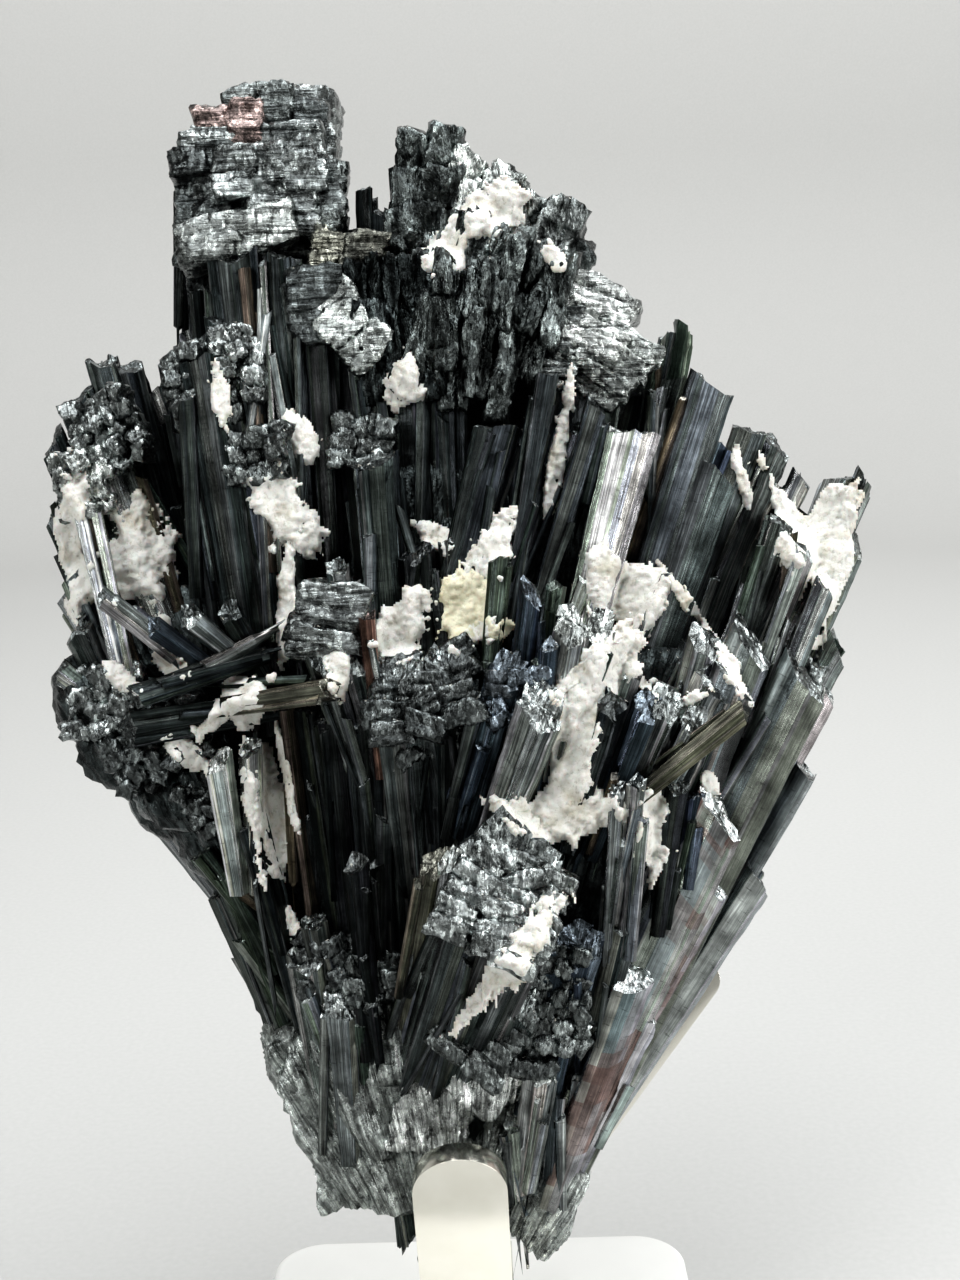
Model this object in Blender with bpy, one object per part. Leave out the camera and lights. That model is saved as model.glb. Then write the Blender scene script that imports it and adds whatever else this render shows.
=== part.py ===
"""A stibnite crystal spray with white calcite, leaning on a small polished steel easel.

The specimen is drawn in its own frame: X to the right along its face, Y towards its back, Z up the
fan, with zero at the tip of its foot. Places on it are given in millimetres as they line up, seen
from a station point in front of the face, with the face plane (y = 0); the function seen() turns
such a place and its depth into a point. The whole specimen then leans back on the easel.
The origin of the world is the middle of the underside of the base block, with +Z up.
"""

import math
import random

import bmesh
import bpy
from mathutils import Matrix, Vector

MM = 0.001

# How the specimen stands on its easel.
LEAN_BACK = 12.0            # degrees that the fan leans back from the vertical
LEAN_SIDE = 1.5             # degrees that it leans to the right
FOOT_PLACE = (-2.4, -7.0, 37.0)     # world place of the foot's lowest tip, mm

# The station point in front of the face, in the specimen's own frame.
STATION_X = 2.8
STATION_Z = 85.5
STATION_DISTANCE = 250.0

DEEPEN = 0.35               # how much deeper the fan is at DEEPEN_HEIGHT than at its foot, as a part
DEEPEN_HEIGHT = 80.0

GAP = 0.3                   # clearance between two pieces that touch, mm
ROOT_TAPER = 0.72           # a crystal's width at its root, as a part of its width at its end

SPRAY_TRIANGLES = 7200      # what the fused spray is thinned out to

# The white base block: width, depth, height, corner radius and the round of its edges, mm.
BASE_SIZE = (66.0, 66.0, 15.0)
BASE_CORNER = 8.0
BASE_EDGE = 1.2

# The steel easel, cut from one 3 mm plate: a Y-shaped back whose stem stands on the base, and a
# tongue bent forward under the foot as a ledge and up again as a round-topped tab. Its places are
# in the specimen's frame, mm.
PLATE_THICK = 3.0
BACK_FACE = 10.5            # depth of the back plate's front face
ARM_HALF = 3.0              # half the width of an arm, and the radius of its tip
ARM_TIP_RIGHT = (32.6, 35.0)
ARM_TURN_RIGHT = 33.7       # degrees from the vertical
ARM_TIP_LEFT = (-27.6, 35.5)
ARM_TURN_LEFT = -38.0
HUB_RIGHT = ((-4.2, -30.0), (6.2, -30.0), (6.2, 0.5), (13.0, 2.0), (16.6, 5.6))
HUB_CROTCH = ((13.0, 11.0), (-2.5, 8.3))
HUB_LEFT = ((-6.2, 3.3), (-4.2, 0.5))
TAB_WIDTH = 12.5
TAB_TOP = (-0.1, -21.0, 18.5)       # middle of the tab's front face at its top (x, depth, z)
TAB_FOOT = (1.2, -6.55, -6.0)       # and at its foot
LEDGE_TOP = -3.0

# Crystals: name, root (x, z, depth), broken end (x, z, depth), (width, thickness), number of rods
# that it is made of, and how its end rises, in mm per mm, to the right and to the back.
TOWER = (
    ("tower_back_left", (-25, 88, 8), (-33.2, 160.4, 12), (6.2, 9), 1, (0.45, 0.1)),
    ("tower_back_mid", (-23, 88, 9), (-28.6, 163.2, 13), (8.4, 9), 1, (0.0, 0.1)),
    ("tower_back_right", (-19, 88, 9), (-21.6, 161.6, 14), (7.0, 9), 1, (0.0, 0.0)),
    ("tower_left", (-31, 85, 6), (-35.6, 156.0, 9), (8.8, 12), 1, (0.35, 0.1)),
    ("tower_front", (-25, 95, 2), (-27.4, 154.2, 4), (8.6, 9), 2, (-0.05, 0.45)),
    ("tower_front_right", (-20, 95, 2), (-21.4, 153.6, 5), (6.4, 8), 1, (0.1, 0.35)),
    ("tower_step_a", (-15, 95, 5), (-17.9, 152.2, 9), (4.4, 8), 1, (-0.5, 0.2)),
    ("tower_spike", (-12, 110, 6), (-13.4, 148.6, 8), (2.8, 4), 1, (0.3, 0.2)),
    ("tower_spike_low", (-10, 110, 6), (-11.4, 145.4, 8), (2.6, 5), 1, (-0.3, 0.2)),
    ("tower_ledge_right", (-13, 100, 0), (-16.2, 142.6, 2), (6.4, 7), 1, (-0.1, 0.7)),
    ("tower_ledge_left", (-28, 100, -2), (-31.4, 142.6, 0), (8.4, 7), 1, (0.05, 0.75)),
    ("tower_block_left", (-30, 100, 0), (-34.4, 149.4, 3), (6.2, 6), 1, (0.0, 0.7)),
    ("tower_face", (-22, 95, -3), (-26.0, 139.6, -1), (5.8, 6), 1, (-0.3, 0.6)),
    ("tower_slope", (-15, 92, -5), (-17.2, 133.2, -2), (11.0, 6), 1, (-0.65, 0.9)),
    ("tower_foot_a", (-27, 85, -5), (-32.8, 130.6, -3), (7.4, 6), 1, (-0.3, 0.7)),
    ("tower_foot_b", (-30, 85, -6), (-36.6, 126.6, -5), (8.0, 6), 1, (0.1, 0.8)),
    ("tower_foot_c", (-33, 85, -2), (-39.8, 125.4, 0), (6.4, 7), 1, (0.25, 0.7)),
)
SECOND_TOWER = (
    ("second_cap", (-4, 90, 5), (-6.4, 155.6, 9), (6.8, 9), 1, (0.0, 0.15)),
    ("second_slope_a", (0, 90, 7), (0.2, 152.0, 11), (7.4, 9), 1, (-0.5, 0.3)),
    ("second_slope_b", (4, 90, 7), (6.2, 148.0, 11), (7.2, 9), 1, (-0.3, 0.3)),
    ("second_slope_c", (8, 90, 7), (11.7, 145.0, 11), (5.2, 8), 1, (-0.6, 0.3)),
    ("second_plane", (7, 90, 2), (9.6, 141.6, 4), (8.6, 8), 1, (-0.5, 1.1)),
    ("second_under", (3, 88, 0), (5.4, 137.0, 1), (6.6, 7), 1, (-0.4, 1.0)),
    ("second_mass_a", (-6, 85, 0), (-9.0, 136.6, 2), (9.6, 9), 1, (0.3, 1.0)),
    ("second_mass_b", (-1, 85, -1), (-2.2, 133.0, 1), (8.4, 8), 1, (-0.2, 1.1)),
    ("second_mass_c", (-10, 85, -1), (-14.4, 126.6, 0), (8.0, 7), 1, (0.2, 1.0)),
    ("second_lump", (12, 90, 7), (15.6, 137.6, 9), (4.2, 5), 1, (-0.2, 0.4)),
)
LAMINATED = (
    ("laminated_left", (11, 88, 5), (15.6, 134.0, 7), (6.4, 10), 1, (-0.3, 0.9)),
    ("laminated_mid", (14, 88, 5), (20.2, 132.2, 8), (6.0, 10), 1, (-0.3, 0.9)),
    ("laminated_right", (18, 88, 6), (23.4, 125.0, 8), (4.4, 9), 1, (-1.3, 0.8)),
    ("laminated_low", (13, 86, 2), (18.6, 124.4, 3), (10.4, 7), 1, (-0.4, 1.0)),
)
RIGHT_WING = (
    ("small_tower_a", (20, 88, 8), (27.3, 124.4, 10), (2.8, 5), 1, (0.6, 0.0)),
    ("small_tower_b", (22, 88, 8), (29.4, 128.4, 11), (2.8, 5), 1, (0.3, 0.0)),
    ("small_tower_c", (24, 88, 8), (31.7, 129.6, 10), (3.2, 5), 1, (-0.4, 0.0)),
    ("small_tower_d", (21, 82, 4), (27.4, 120.6, 6), (3.6, 5), 1, (0.2, 0.3)),
    ("blade_big", (23, 82, 1), (35.4, 121.6, 6), (7.2, 5), 1, (-0.35, 0.3)),
    ("blade_second", (28, 80, 4), (40.6, 114.6, 8), (5.2, 5), 1, (-0.1, 0.2)),
    ("blade_low", (26, 78, -3), (36.4, 108.6, -1), (6.2, 4), 1, (-0.5, 0.3)),
    ("wing_end_a", (31, 78, 5), (44.6, 112.4, 8), (4.4, 6), 1, (-0.5, 0.5)),
    ("wing_end_b", (34, 78, 5), (48.0, 108.6, 8), (4.0, 5), 1, (-0.3, 0.4)),
    ("wing_round", (40, 76, 5), (53.6, 108.2, 9), (5.4, 7), 1, (0.55, 0.2)),
    ("wing_round_outer", (43, 76, 5), (56.6, 107.4, 9), (4.2, 7), 1, (-0.9, 0.2)),
    ("wing_edge", (43, 70, 4), (55.4, 98.6, 6), (4.0, 5), 1, (-1.0, 0.2)),
    ("wing_dark_a", (36, 74, -3), (45.0, 102.0, 0), (4.2, 4), 1, (-0.3, 0.6)),
    ("wing_dark_b", (39, 72, -4), (48.4, 98.0, -2), (3.6, 4), 1, (-0.4, 0.6)),
    ("wing_dark_c", (42, 70, -5), (51.2, 93.0, -3), (3.4, 4), 1, (-0.5, 0.6)),
    ("wing_low_edge", (34, 48, 3), (53.0, 84.4, 4), (4.4, 6), 1, (-0.9, 0.3)),
)
FLANK = (
    ("flank_foot_edge", (8, 3, 5), (29.2, 31.6, 3), (5.0, 7), 1, (-0.8, 0.2)),
    ("flank_low", (13, 8, 4), (34.2, 41.6, 2), (6.0, 9), 1, (-0.6, 0.2)),
    ("flank_mid", (17, 14, 3), (41.6, 53.0, 1), (6.0, 9), 1, (-0.7, 0.2)),
    ("flank_high", (20, 20, 3), (47.4, 69.0, 1), (6.4, 9), 2, (-0.4, 0.3)),
    ("flank_end", (24, 30, 2), (51.4, 79.4, 2), (5.0, 8), 1, (-0.9, 0.3)),
    ("flank_front_a", (16, 14, -3), (46.2, 77.0, -4), (5.2, 5), 1, (-0.5, 0.5)),
    ("flank_front_b", (13, 14, -5), (41.0, 85.0, -6), (6.4, 6), 2, (-0.9, 0.5)),
    ("flank_red", (12, 12, -7), (33.6, 57.0, -9), (6.6, 6), 1, (-0.4, 0.5)),
    ("flank_red_low", (14, 12, -4), (38.4, 57.4, -5), (5.0, 6), 1, (-0.6, 0.4)),
    ("flank_pink", (13, 8, -8), (22.6, 37.4, -10), (5.0, 5), 1, (0.1, 0.6)),
    ("flank_grey", (13, 8, -6), (28.0, 47.4, -8), (4.4, 5), 1, (0.2, 0.5)),
)
RIGHT_CENTRE = (
    ("bright_prism", (16, 82, -4), (24.2, 114.4, -2), (7.8, 6), 1, (0.1, 0.3)),
    ("blade_dark_a", (9, 84, -5), (19.2, 118.4, -2), (3.6, 4), 1, (-0.4, 0.5)),
    ("blade_dark_b", (5, 86, -4), (15.2, 120.4, 0), (3.8, 5), 1, (-0.2, 0.4)),
    ("narrow_prism", (6, 84, -8), (11.9, 123.0, -4), (3.3, 4), 1, (0.3, 0.4)),
    ("end_mottled", (13, 66, -12), (17.8, 88.0, -15), (8.4, 7), 2, (-0.1, 0.8)),
    ("end_blue", (11, 68, -14), (12.7, 84.6, -17), (3.0, 3), 1, (0.0, 0.4)),
    ("star_a", (0, 58, -12), (6.4, 81.0, -17), (5.6, 6), 1, (0.2, 1.0)),
    ("star_b", (4, 56, -13), (11.6, 76.8, -18), (7.6, 7), 1, (-0.3, 0.9)),
    ("star_left", (-2, 58, -12), (2.4, 77.2, -16), (3.4, 4), 1, (0.4, 0.4)),
    ("star_pointed", (7, 68, -13), (9.8, 92.0, -15), (4.2, 4), 1, (-0.9, 0.6)),
    ("end_grain", (19, 66, -12), (24.0, 81.4, -13), (4.4, 4), 1, (0.0, 0.8)),
    ("dark_group_a", (15, 56, -13), (21.4, 76.6, -16), (5.0, 6), 1, (0.0, 0.6)),
    ("dark_group_b", (18, 55, -12), (26.0, 76.0, -15), (4.4, 6), 1, (-0.1, 0.7)),
    ("end_broad", (21, 58, -10), (28.4, 76.6, -13), (7.0, 6), 1, (-0.1, 0.9)),
    ("end_broad_grain", (25, 58, -10), (32.6, 73.6, -12), (5.4, 6), 1, (-0.2, 0.9)),
    ("olive_across", (24, 62.6, -14), (39.8, 75.4, -12), (3.4, 3), 1, (-0.3, 0.3)),
    ("behind_olive", (27, 62, -9), (35.6, 79.6, -9), (6.0, 5), 1, (-0.2, 0.6)),
    ("right_end_dark", (29, 66, -6), (34.6, 85.2, -8), (5.6, 5), 1, (-0.3, 0.8)),
    ("bright_upright", (21.4, 40, -12), (23.4, 64.4, -16), (4.8, 4), 2, (0.1, 0.4)),
    ("dark_upright", (27.6, 44, -10), (30.5, 65.2, -12), (3.9, 4), 1, (0.0, 0.5)),
    ("blue_upright", (31, 50, -9), (33.0, 64.0, -10), (3.0, 4), 1, (0.3, 0.5)),
)
CENTRE = (
    ("thick_prism", (-9, 66, -8), (-12.4, 111.0, -4), (8.0, 8), 1, (0.0, 0.6)),
    ("thick_prism_top", (-9, 88, -3), (-13.0, 117.0, 0), (9.4, 7), 1, (0.2, 0.9)),
    ("flat_topped", (-3, 84, -7), (5.2, 115.6, -4), (7.0, 7), 1, (0.15, 0.35)),
    ("laminated_end", (-11, 62, -8), (-18.0, 89.0, -13), (9.0, 8), 2, (-0.3, 1.0)),
    ("stub", (-15, 78, -9), (-17.3, 96.0, -9), (3.8, 4), 1, (0.0, 0.5)),
    ("reddish_side", (-11, 66, -12), (-13.2, 88.6, -13), (2.8, 3), 1, (0.2, 0.3)),
    ("centre_dark_a", (-4, 66, -8), (-6.0, 98.0, -7), (5.4, 5), 1, (0.2, 0.5)),
    ("centre_dark_b", (0, 66, -8), (0.0, 99.4, -6), (5.4, 5), 1, (-0.2, 0.5)),
    ("green_prism", (3, 70, -12), (5.6, 97.0, -10), (3.0, 3), 1, (0.3, 0.4)),
    ("green_black_prism", (11, 72, -11), (13.6, 93.0, -11), (3.0, 3), 1, (-0.2, 0.4)),
    ("grain_mass_a", (-6, 50, -8), (-8.4, 79.6, -14), (8.4, 8), 1, (0.2, 1.1)),
    ("grain_mass_b", (-2, 52, -9), (-2.0, 82.0, -14), (6.8, 7), 1, (-0.2, 1.0)),
    ("front_block", (-6, 18, -2), (5.8, 50.4, -21), (18.5, 13), 1, (-0.35, 1.35)),
    ("front_block_side", (-8, 26, -3), (-3.4, 51.0, -17), (5.0, 6), 1, (0.4, 0.6)),
    ("under_block", (-1, 16, -6), (8.0, 36.0, -15), (9.0, 7), 1, (-0.3, 0.8)),
    ("glitter_block", (10, 18, -8), (16.6, 43.0, -14), (7.6, 6), 1, (0.1, 1.0)),
    ("glitter_block_right", (16, 18, -7), (22.8, 46.0, -13), (5.2, 5), 1, (0.1, 0.9)),
    ("foot_block", (9, 8, -9), (11.4, 24.6, -13), (5.4, 5), 1, (0.1, 0.7)),
    ("foot_column_a", (8.6, 3, -7), (7.2, 18.0, -11), (2.6, 4), 1, (0.2, 0.4)),
    ("foot_column_b", (12.2, 5, -8), (13.6, 22.6, -11), (2.8, 4), 1, (-0.2, 0.4)),
    ("foot_column_c", (13.6, 7, -6), (17.0, 24.6, -10), (2.8, 4), 1, (-0.2, 0.4)),
)
DARK_COLUMNS = (
    ("column_a", (-14, 24, -4), (-21.6, 76.0, -8), (3.6, 5), 1, (0.2, 0.3)),
    ("column_b", (-13, 24, -5), (-18.2, 75.0, -10), (3.8, 5), 1, (0.0, 0.3)),
    ("column_c", (-11, 24, -6), (-14.6, 74.0, -11), (3.8, 5), 1, (-0.2, 0.3)),
    ("column_d", (-9, 24, -6), (-11.0, 72.0, -10), (3.6, 5), 1, (0.2, 0.3)),
    ("column_e", (-6.5, 24, -5), (-7.2, 68.0, -8), (3.6, 5), 1, (0.0, 0.3)),
    ("column_front", (-12, 26, -8), (-14.6, 54.0, -13), (4.0, 4), 1, (0.3, 0.5)),
    ("column_front_left", (-16, 24, -5), (-20.6, 46.0, -9), (4.2, 4), 1, (0.3, 0.5)),
    ("brown_column", (-18, 26, -3), (-24.2, 76.4, -8), (2.8, 4), 1, (0.1, 0.2)),
    ("left_column_a", (-19, 22, -2), (-29.4, 60.4, -7), (4.6, 5), 1, (0.2, 0.4)),
    ("left_column_b", (-20, 20, 0), (-33.2, 53.4, -3), (4.0, 5), 1, (-0.3, 0.3)),
    ("left_column_edge", (-20, 18, 2), (-34.0, 49.6, 1), (3.6, 6), 1, (0.3, 0.2)),
    ("green_rods", (-26, 42, -3), (-36.4, 55.4, -3), (3.2, 4), 2, (0.3, 0.3)),
    ("bright_stub_a", (-31, 50, -5), (-34.0, 68.8, -10), (4.2, 4), 1, (0.5, 0.5)),
    ("bright_stub_b", (-29, 50, -5), (-29.6, 69.8, -10), (3.4, 4), 1, (0.6, 0.5)),
    ("low_rough_a", (-17, 14, -5), (-21.4, 40.4, -9), (6.0, 6), 1, (0.1, 0.8)),
    ("low_rough_b", (-15, 12, -6), (-16.4, 34.6, -10), (5.8, 6), 1, (-0.2, 0.8)),
)
LEFT_WING = (
    ("across_upper", (-27, 83.4, -8), (-46.0, 77.4, -11), (3.8, 4), 1, (0.3, 0.3)),
    ("across_lower", (-24, 76.6, -6), (-46.6, 73.0, -9), (5.6, 6), 1, (0.0, 0.4)),
    ("across_inner", (-33, 76.6, -9), (-18.2, 78.6, -15), (3.6, 4), 1, (0.0, 0.3)),
    ("wing_top_a", (-34, 78, 5), (-46.6, 123.6, 8), (5.2, 6), 1, (-0.2, 0.3)),
    ("wing_top_b", (-36, 76, 4), (-50.2, 124.6, 7), (4.8, 7), 1, (0.0, 0.3)),
    ("wing_top_c", (-38, 75, 3), (-53.8, 119.2, 5), (5.8, 7), 1, (0.5, 0.4)),
    ("wing_top_d", (-41, 74, 2), (-57.2, 113.2, 3), (4.6, 6), 1, (0.8, 0.3)),
    ("wing_outer_a", (-42, 70, 1), (-57.0, 104.0, 2), (4.2, 6), 1, (0.9, 0.3)),
    ("wing_outer_b", (-43, 68, 0), (-54.4, 94.6, 0), (4.4, 6), 1, (0.5, 0.3)),
    ("wing_outer_c", (-44, 66, 0), (-53.6, 86.8, -3), (4.8, 5), 1, (0.4, 0.4)),
    ("wing_grain", (-38, 80, 0), (-50.6, 112.6, 1), (8.0, 6), 1, (0.4, 0.9)),
    ("rainbow_rod_a", (-47.4, 78, -5), (-54.2, 106.6, -3), (1.9, 2.4), 1, (0.2, 0.3)),
    ("rainbow_rod_b", (-46.2, 80, -5), (-51.2, 103.4, -3), (1.9, 2.4), 1, (0.2, 0.3)),
    ("wing_small_a", (-40, 83, -8), (-50.4, 91.6, -10), (3.2, 3), 1, (0.3, 0.3)),
    ("wing_small_b", (-33, 80, -7), (-43.2, 87.4, -11), (3.4, 4), 1, (0.3, 0.4)),
    ("wing_small_c", (-30, 82, -7), (-38.0, 88.6, -12), (4.2, 4), 1, (0.3, 0.4)),
    ("wing_small_d", (-27, 80, -6), (-32.4, 89.4, -9), (3.6, 4), 1, (0.2, 0.5)),
    ("pale_end", (-44, 72, -3), (-56.4, 81.4, -4), (4.0, 3), 1, (0.2, 0.3)),
)
MID_LEFT = (
    ("mid_prism", (-26, 72, -6), (-28.6, 110.0, -3), (4.0, 4), 1, (0.1, 0.4)),
    ("arrow_end_a", (-24, 84, -3), (-31.8, 114.0, -3), (5.6, 6), 1, (0.5, 0.9)),
    ("arrow_end_b", (-22, 84, -2), (-27.0, 115.6, -1), (5.4, 6), 1, (-0.5, 0.9)),
    ("green_stub", (-31, 92, -1), (-37.2, 120.0, -1), (3.6, 4), 1, (-0.2, 0.4)),
    ("mid_dark_a", (-19, 78, -1), (-22.6, 119.0, 2), (5.0, 5), 1, (0.2, 0.5)),
    ("mid_dark_b", (-16, 78, 0), (-18.0, 121.6, 2), (4.8, 5), 1, (0.0, 0.5)),
    ("mid_dark_c", (-21, 74, -5), (-24.0, 104.0, -4), (3.6, 4), 1, (-0.3, 0.5)),
    ("hollow_prism_a", (-31, 78, 2), (-38.0, 110.0, 4), (4.4, 5), 1, (0.3, 0.4)),
    ("hollow_prism_b", (-34, 78, 2), (-43.0, 104.0, 4), (4.4, 5), 1, (0.3, 0.4)),
)
# The fan of long crystals that makes the back: broken end (x, z, depth), width; all from one root.
BACK_ROOT = (-2.0, 12.0, 3.0)
BACK_THICK = 8.0
BACK_FAN = (
    (-40.5, 66, 6, 9), (-47.5, 72, 6, 9), (-52.6, 80, 7, 9), (-52.4, 92, 8, 10), (-53.6, 102, 8, 9),
    (-53.0, 112, 9, 9), (-48.6, 119, 10, 9), (-41.0, 120, 10, 9), (-35.6, 128, 11, 9),
    (-34.4, 148, 12, 8), (-27.0, 155, 13, 8), (-20.4, 154, 13, 7), (-14.4, 142, 12, 8),
    (-6.6, 147, 12, 7), (0.6, 146, 12, 8), (7.4, 141, 11, 8), (13.6, 134, 11, 8),
    (19.6, 128, 10, 8), (25.0, 119, 10, 7), (30.8, 121, 10, 6), (36.4, 112, 9, 7),
    (42.4, 107, 9, 7), (48.0, 102, 9, 7), (52.2, 98, 8, 7), (50.6, 86, 7, 8), (46.0, 74, 6, 8),
    (41.6, 61, 5, 8), (34.6, 47, 5, 7),
    (-31, 72, 10, 7), (-38, 97, 11, 6), (-27, 113, 13, 7), (-18, 97, 13, 8), (-14, 62, 10, 7),
    (-4, 84, 13, 9), (3, 60, 10, 8), (10, 105, 13, 8), (18, 58, 9, 7), (24, 83, 11, 8), (35, 92, 10, 7),
)

# Massive lumps: name, middle (x, z, depth), half sizes (across, up, deep), tilt in degrees.
LUMPS = (
    ("root_left", (-12.5, 24, 1), (12, 15, 9), 18),
    ("root_mid", (-1, 20, 0), (11, 15, 10), 0),
    ("root_right", (8.5, 16, 0), (8, 13, 9), -14),
    ("root_high", (-4, 38, -1), (15, 13, 9), 0),
    ("root_knob", (-23.6, 27, 0), (3.4, 5, 6), 12),
    ("root_heel", (-14.4, 13.0, 0), (5.4, 5.8, 6), 20),
    ("root_toe", (10.8, 8.6, -2), (5.0, 6.4, 7), -30),
    ("root_keel", (0.4, 6.7, 0), (5.6, 10.6, 7), 0),
    ("root_front", (-11, 25, -4), (10, 12, 6), 30),
    ("wing_under_a", (-46.6, 71, 1), (8.6, 6.4, 7), 25),
    ("wing_under_b", (-39.4, 65, 1), (8.4, 6.6, 7), 35),
    ("wing_under_c", (-51.0, 77, 1), (5.2, 6.4, 6), 10),
    ("wing_under_d", (-33.6, 59, 1), (6.4, 7, 6), 40),
    ("hollow_floor", (-36, 84, 3), (14, 9, 6), 10),
    ("core", (-4, 62, 1), (24, 26, 11), 0),
    ("core_right", (22, 62, 0), (15, 24, 10), -24),
    ("core_top", (-2, 98, 4), (26, 20, 9), 0),
)
# The foot's thin spike runs down beside the easel's tab.
SPIKE = ("foot_spike", (-9.4, 14, -3), (-7.2, 0.6, -4), (3.2, 4), 1, (0.9, 0.0))

# Calcite: node name, then its lumps, each (x, z, depth), half sizes, tilt.
CALCITE = (
    ("calcite_second_tower", (((4.2, 145.4, 1.0), (5.0, 2.8, 4), 30), ((-2.2, 140.4, -1.0), (4.0, 2.6, 4), 50))),
    ("calcite_left_edge", (((-55.6, 100.4, -3), (2.4, 8.4, 4), -8), ((-54.0, 91.6, -3), (2.2, 5.0, 4), -14))),
    ("calcite_hollow", (((-44.6, 97, -3.6), (4.4, 6.4, 4.4), 8),)),
    ("calcite_middle_left", (((-24.8, 104.0, -7), (3.2, 4.6, 3.6), 20), ((-22.0, 100.6, -6.4), (2.8, 2.8, 3.4), 0))),
    ("calcite_cap", (((-7.6, 121.6, -3.4), (2.3, 2.9, 3.4), 0),)),
    ("calcite_cream", (((0.4, 90.4, -14.6), (3.1, 4.8, 3.6), 0), ((3.2, 87.2, -13.6), (3.0, 1.6, 3), 0))),
    ("calcite_band", (((4.0, 97.6, -11), (2.3, 5.8, 3), -22),)),
    ("calcite_left_of_cream", (((-7.8, 87.6, -13.6), (2.5, 5.4, 3), -18),)),
    ("calcite_right_high", (((20.0, 94.4, -11), (3.1, 4.8, 5), -8), ((25.2, 91.0, -11), (3.2, 5.6, 5), -18))),
    ("calcite_vein", (((16.4, 73.6, -15), (2.9, 6.6, 5), 2), ((15.8, 66.6, -14.4), (2.7, 5.4, 5), -10),
                      ((20.6, 81.8, -14.4), (3.0, 5.4, 5), -38),
                      ((8.6, 60.2, -16.6), (2.8, 2.8, 3.4), 0), ((14.6, 60.8, -15.4), (4.2, 3.0, 3.6), 0),
                      ((19.2, 61.4, -14.4), (3.2, 2.5, 3.4), 30))),
    ("calcite_right_low", (((27.2, 58.6, -12.6), (1.8, 5.6, 3.4), -4),)),
    ("calcite_right_wing", (((49.4, 101.6, -3.4), (3.4, 7.4, 4.4), -16), ((53.6, 96.4, -1), (3.0, 8.6, 4.4), -12))),
    ("calcite_fork", (((-30.0, 77.4, -11.6), (2.5, 3.0, 2.6), 0),)),
    ("calcite_left_low", (((-27.0, 61.4, -9.4), (2.3, 6.8, 3), 10),)),
    ("calcite_white_tip", (((-17.4, 80.6, -14.6), (1.6, 3.2, 2.4), 6),)),
    ("calcite_streak", (((8.4, 41.4, -17.4), (2.2, 7.0, 3), -36),)),
)


def seen(x, z, y):
    """The point at depth y that lines up with (x, z) of the face plane, seen from the station."""
    y *= 1.0 + DEEPEN * min(1.0, max(0.0, z / DEEPEN_HEIGHT))
    k = 1.0 + y / STATION_DISTANCE
    return Vector((STATION_X + (x - STATION_X) * k, y, STATION_Z + (z - STATION_Z) * k))


def specimen_matrix():
    """Stands the specimen on its easel: millimetres in its own frame to metres in the world."""
    lean = Matrix.Rotation(math.radians(-LEAN_BACK), 4, "X") @ Matrix.Rotation(math.radians(LEAN_SIDE), 4, "Y")
    return Matrix.Scale(MM, 4) @ Matrix.Translation(FOOT_PLACE) @ lean


def material(name, colour, roughness, metallic):
    """A plain Principled material."""
    mat = bpy.data.materials.new(name)
    mat.use_nodes = True
    shader = mat.node_tree.nodes["Principled BSDF"]
    shader.inputs["Base Color"].default_value = (*colour, 1.0)
    shader.inputs["Roughness"].default_value = roughness
    shader.inputs["Metallic"].default_value = metallic
    mat.diffuse_color = (*colour, 1.0)
    return mat


def new_object(name, mesh, mat=None):
    """Links a mesh to the scene as an object."""
    obj = bpy.data.objects.new(name, mesh)
    bpy.context.scene.collection.objects.link(obj)
    if mat:
        mesh.materials.clear()
        mesh.materials.append(mat)
    return obj


def section(width, thick, sides, rng):
    """The cross-section of a rod: an uneven polygon, boxy like a worn prism."""
    turn = rng.uniform(0.0, 2.0 * math.pi / sides)
    points = []
    for k in range(sides):
        angle = turn + 2.0 * math.pi * (k + rng.uniform(-0.18, 0.18)) / sides
        c, s = math.cos(angle), math.sin(angle)
        radius = (abs(c) ** 3 + abs(s) ** 3) ** (-1.0 / 3.0) * rng.uniform(0.94, 1.05)
        points.append((c * radius * width / 2.0, s * radius * thick / 2.0))
    return points


def rods(spec, grow=0.0):
    """Splits a crystal into its rods: for each its root ring, end ring and two cap middles."""
    name, root, end, (width, thick), count, (rise_right, rise_back) = spec
    rng = random.Random(name)
    scale = 1.0 + end[2] / STATION_DISTANCE
    start, stop = seen(*root), seen(*end)
    axis = (stop - start).normalized()
    across = Vector((0.0, 1.0, 0.0)).cross(axis).normalized()
    back = axis.cross(across)
    width, thick = width * scale, thick * scale
    step = min(1.6, 0.10 * width + 0.2)
    for i in range(count):
        middle = width * ((i + 0.5) / count - 0.5)
        wide = width / count * (1.16 if count > 1 else 1.0) + 2.0 * grow
        deep = thick * rng.uniform(0.82, 1.0) + 2.0 * grow
        shift = thick * rng.uniform(-0.08, 0.08)
        lift = rng.uniform(-step, step) if count > 1 else 0.0
        sides = 6 if wide > 4.5 else 5
        ring = section(wide, deep, sides, rng)
        jag = 0.3 + 0.07 * wide
        low, high = [], []
        for u, v in ring:
            rise = rise_right * (middle + u) + rise_back * (shift + v) + lift + rng.uniform(-jag, jag)
            low.append(start + across * (middle + u) * ROOT_TAPER + back * (shift + v) * ROOT_TAPER)
            high.append(stop + across * (middle + u) + back * (shift + v) + axis * (rise + grow))
        cap = sum(high, Vector()) / sides + axis * rng.uniform(-jag, jag)
        foot = sum(low, Vector()) / sides
        yield low, high, foot, cap


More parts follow.
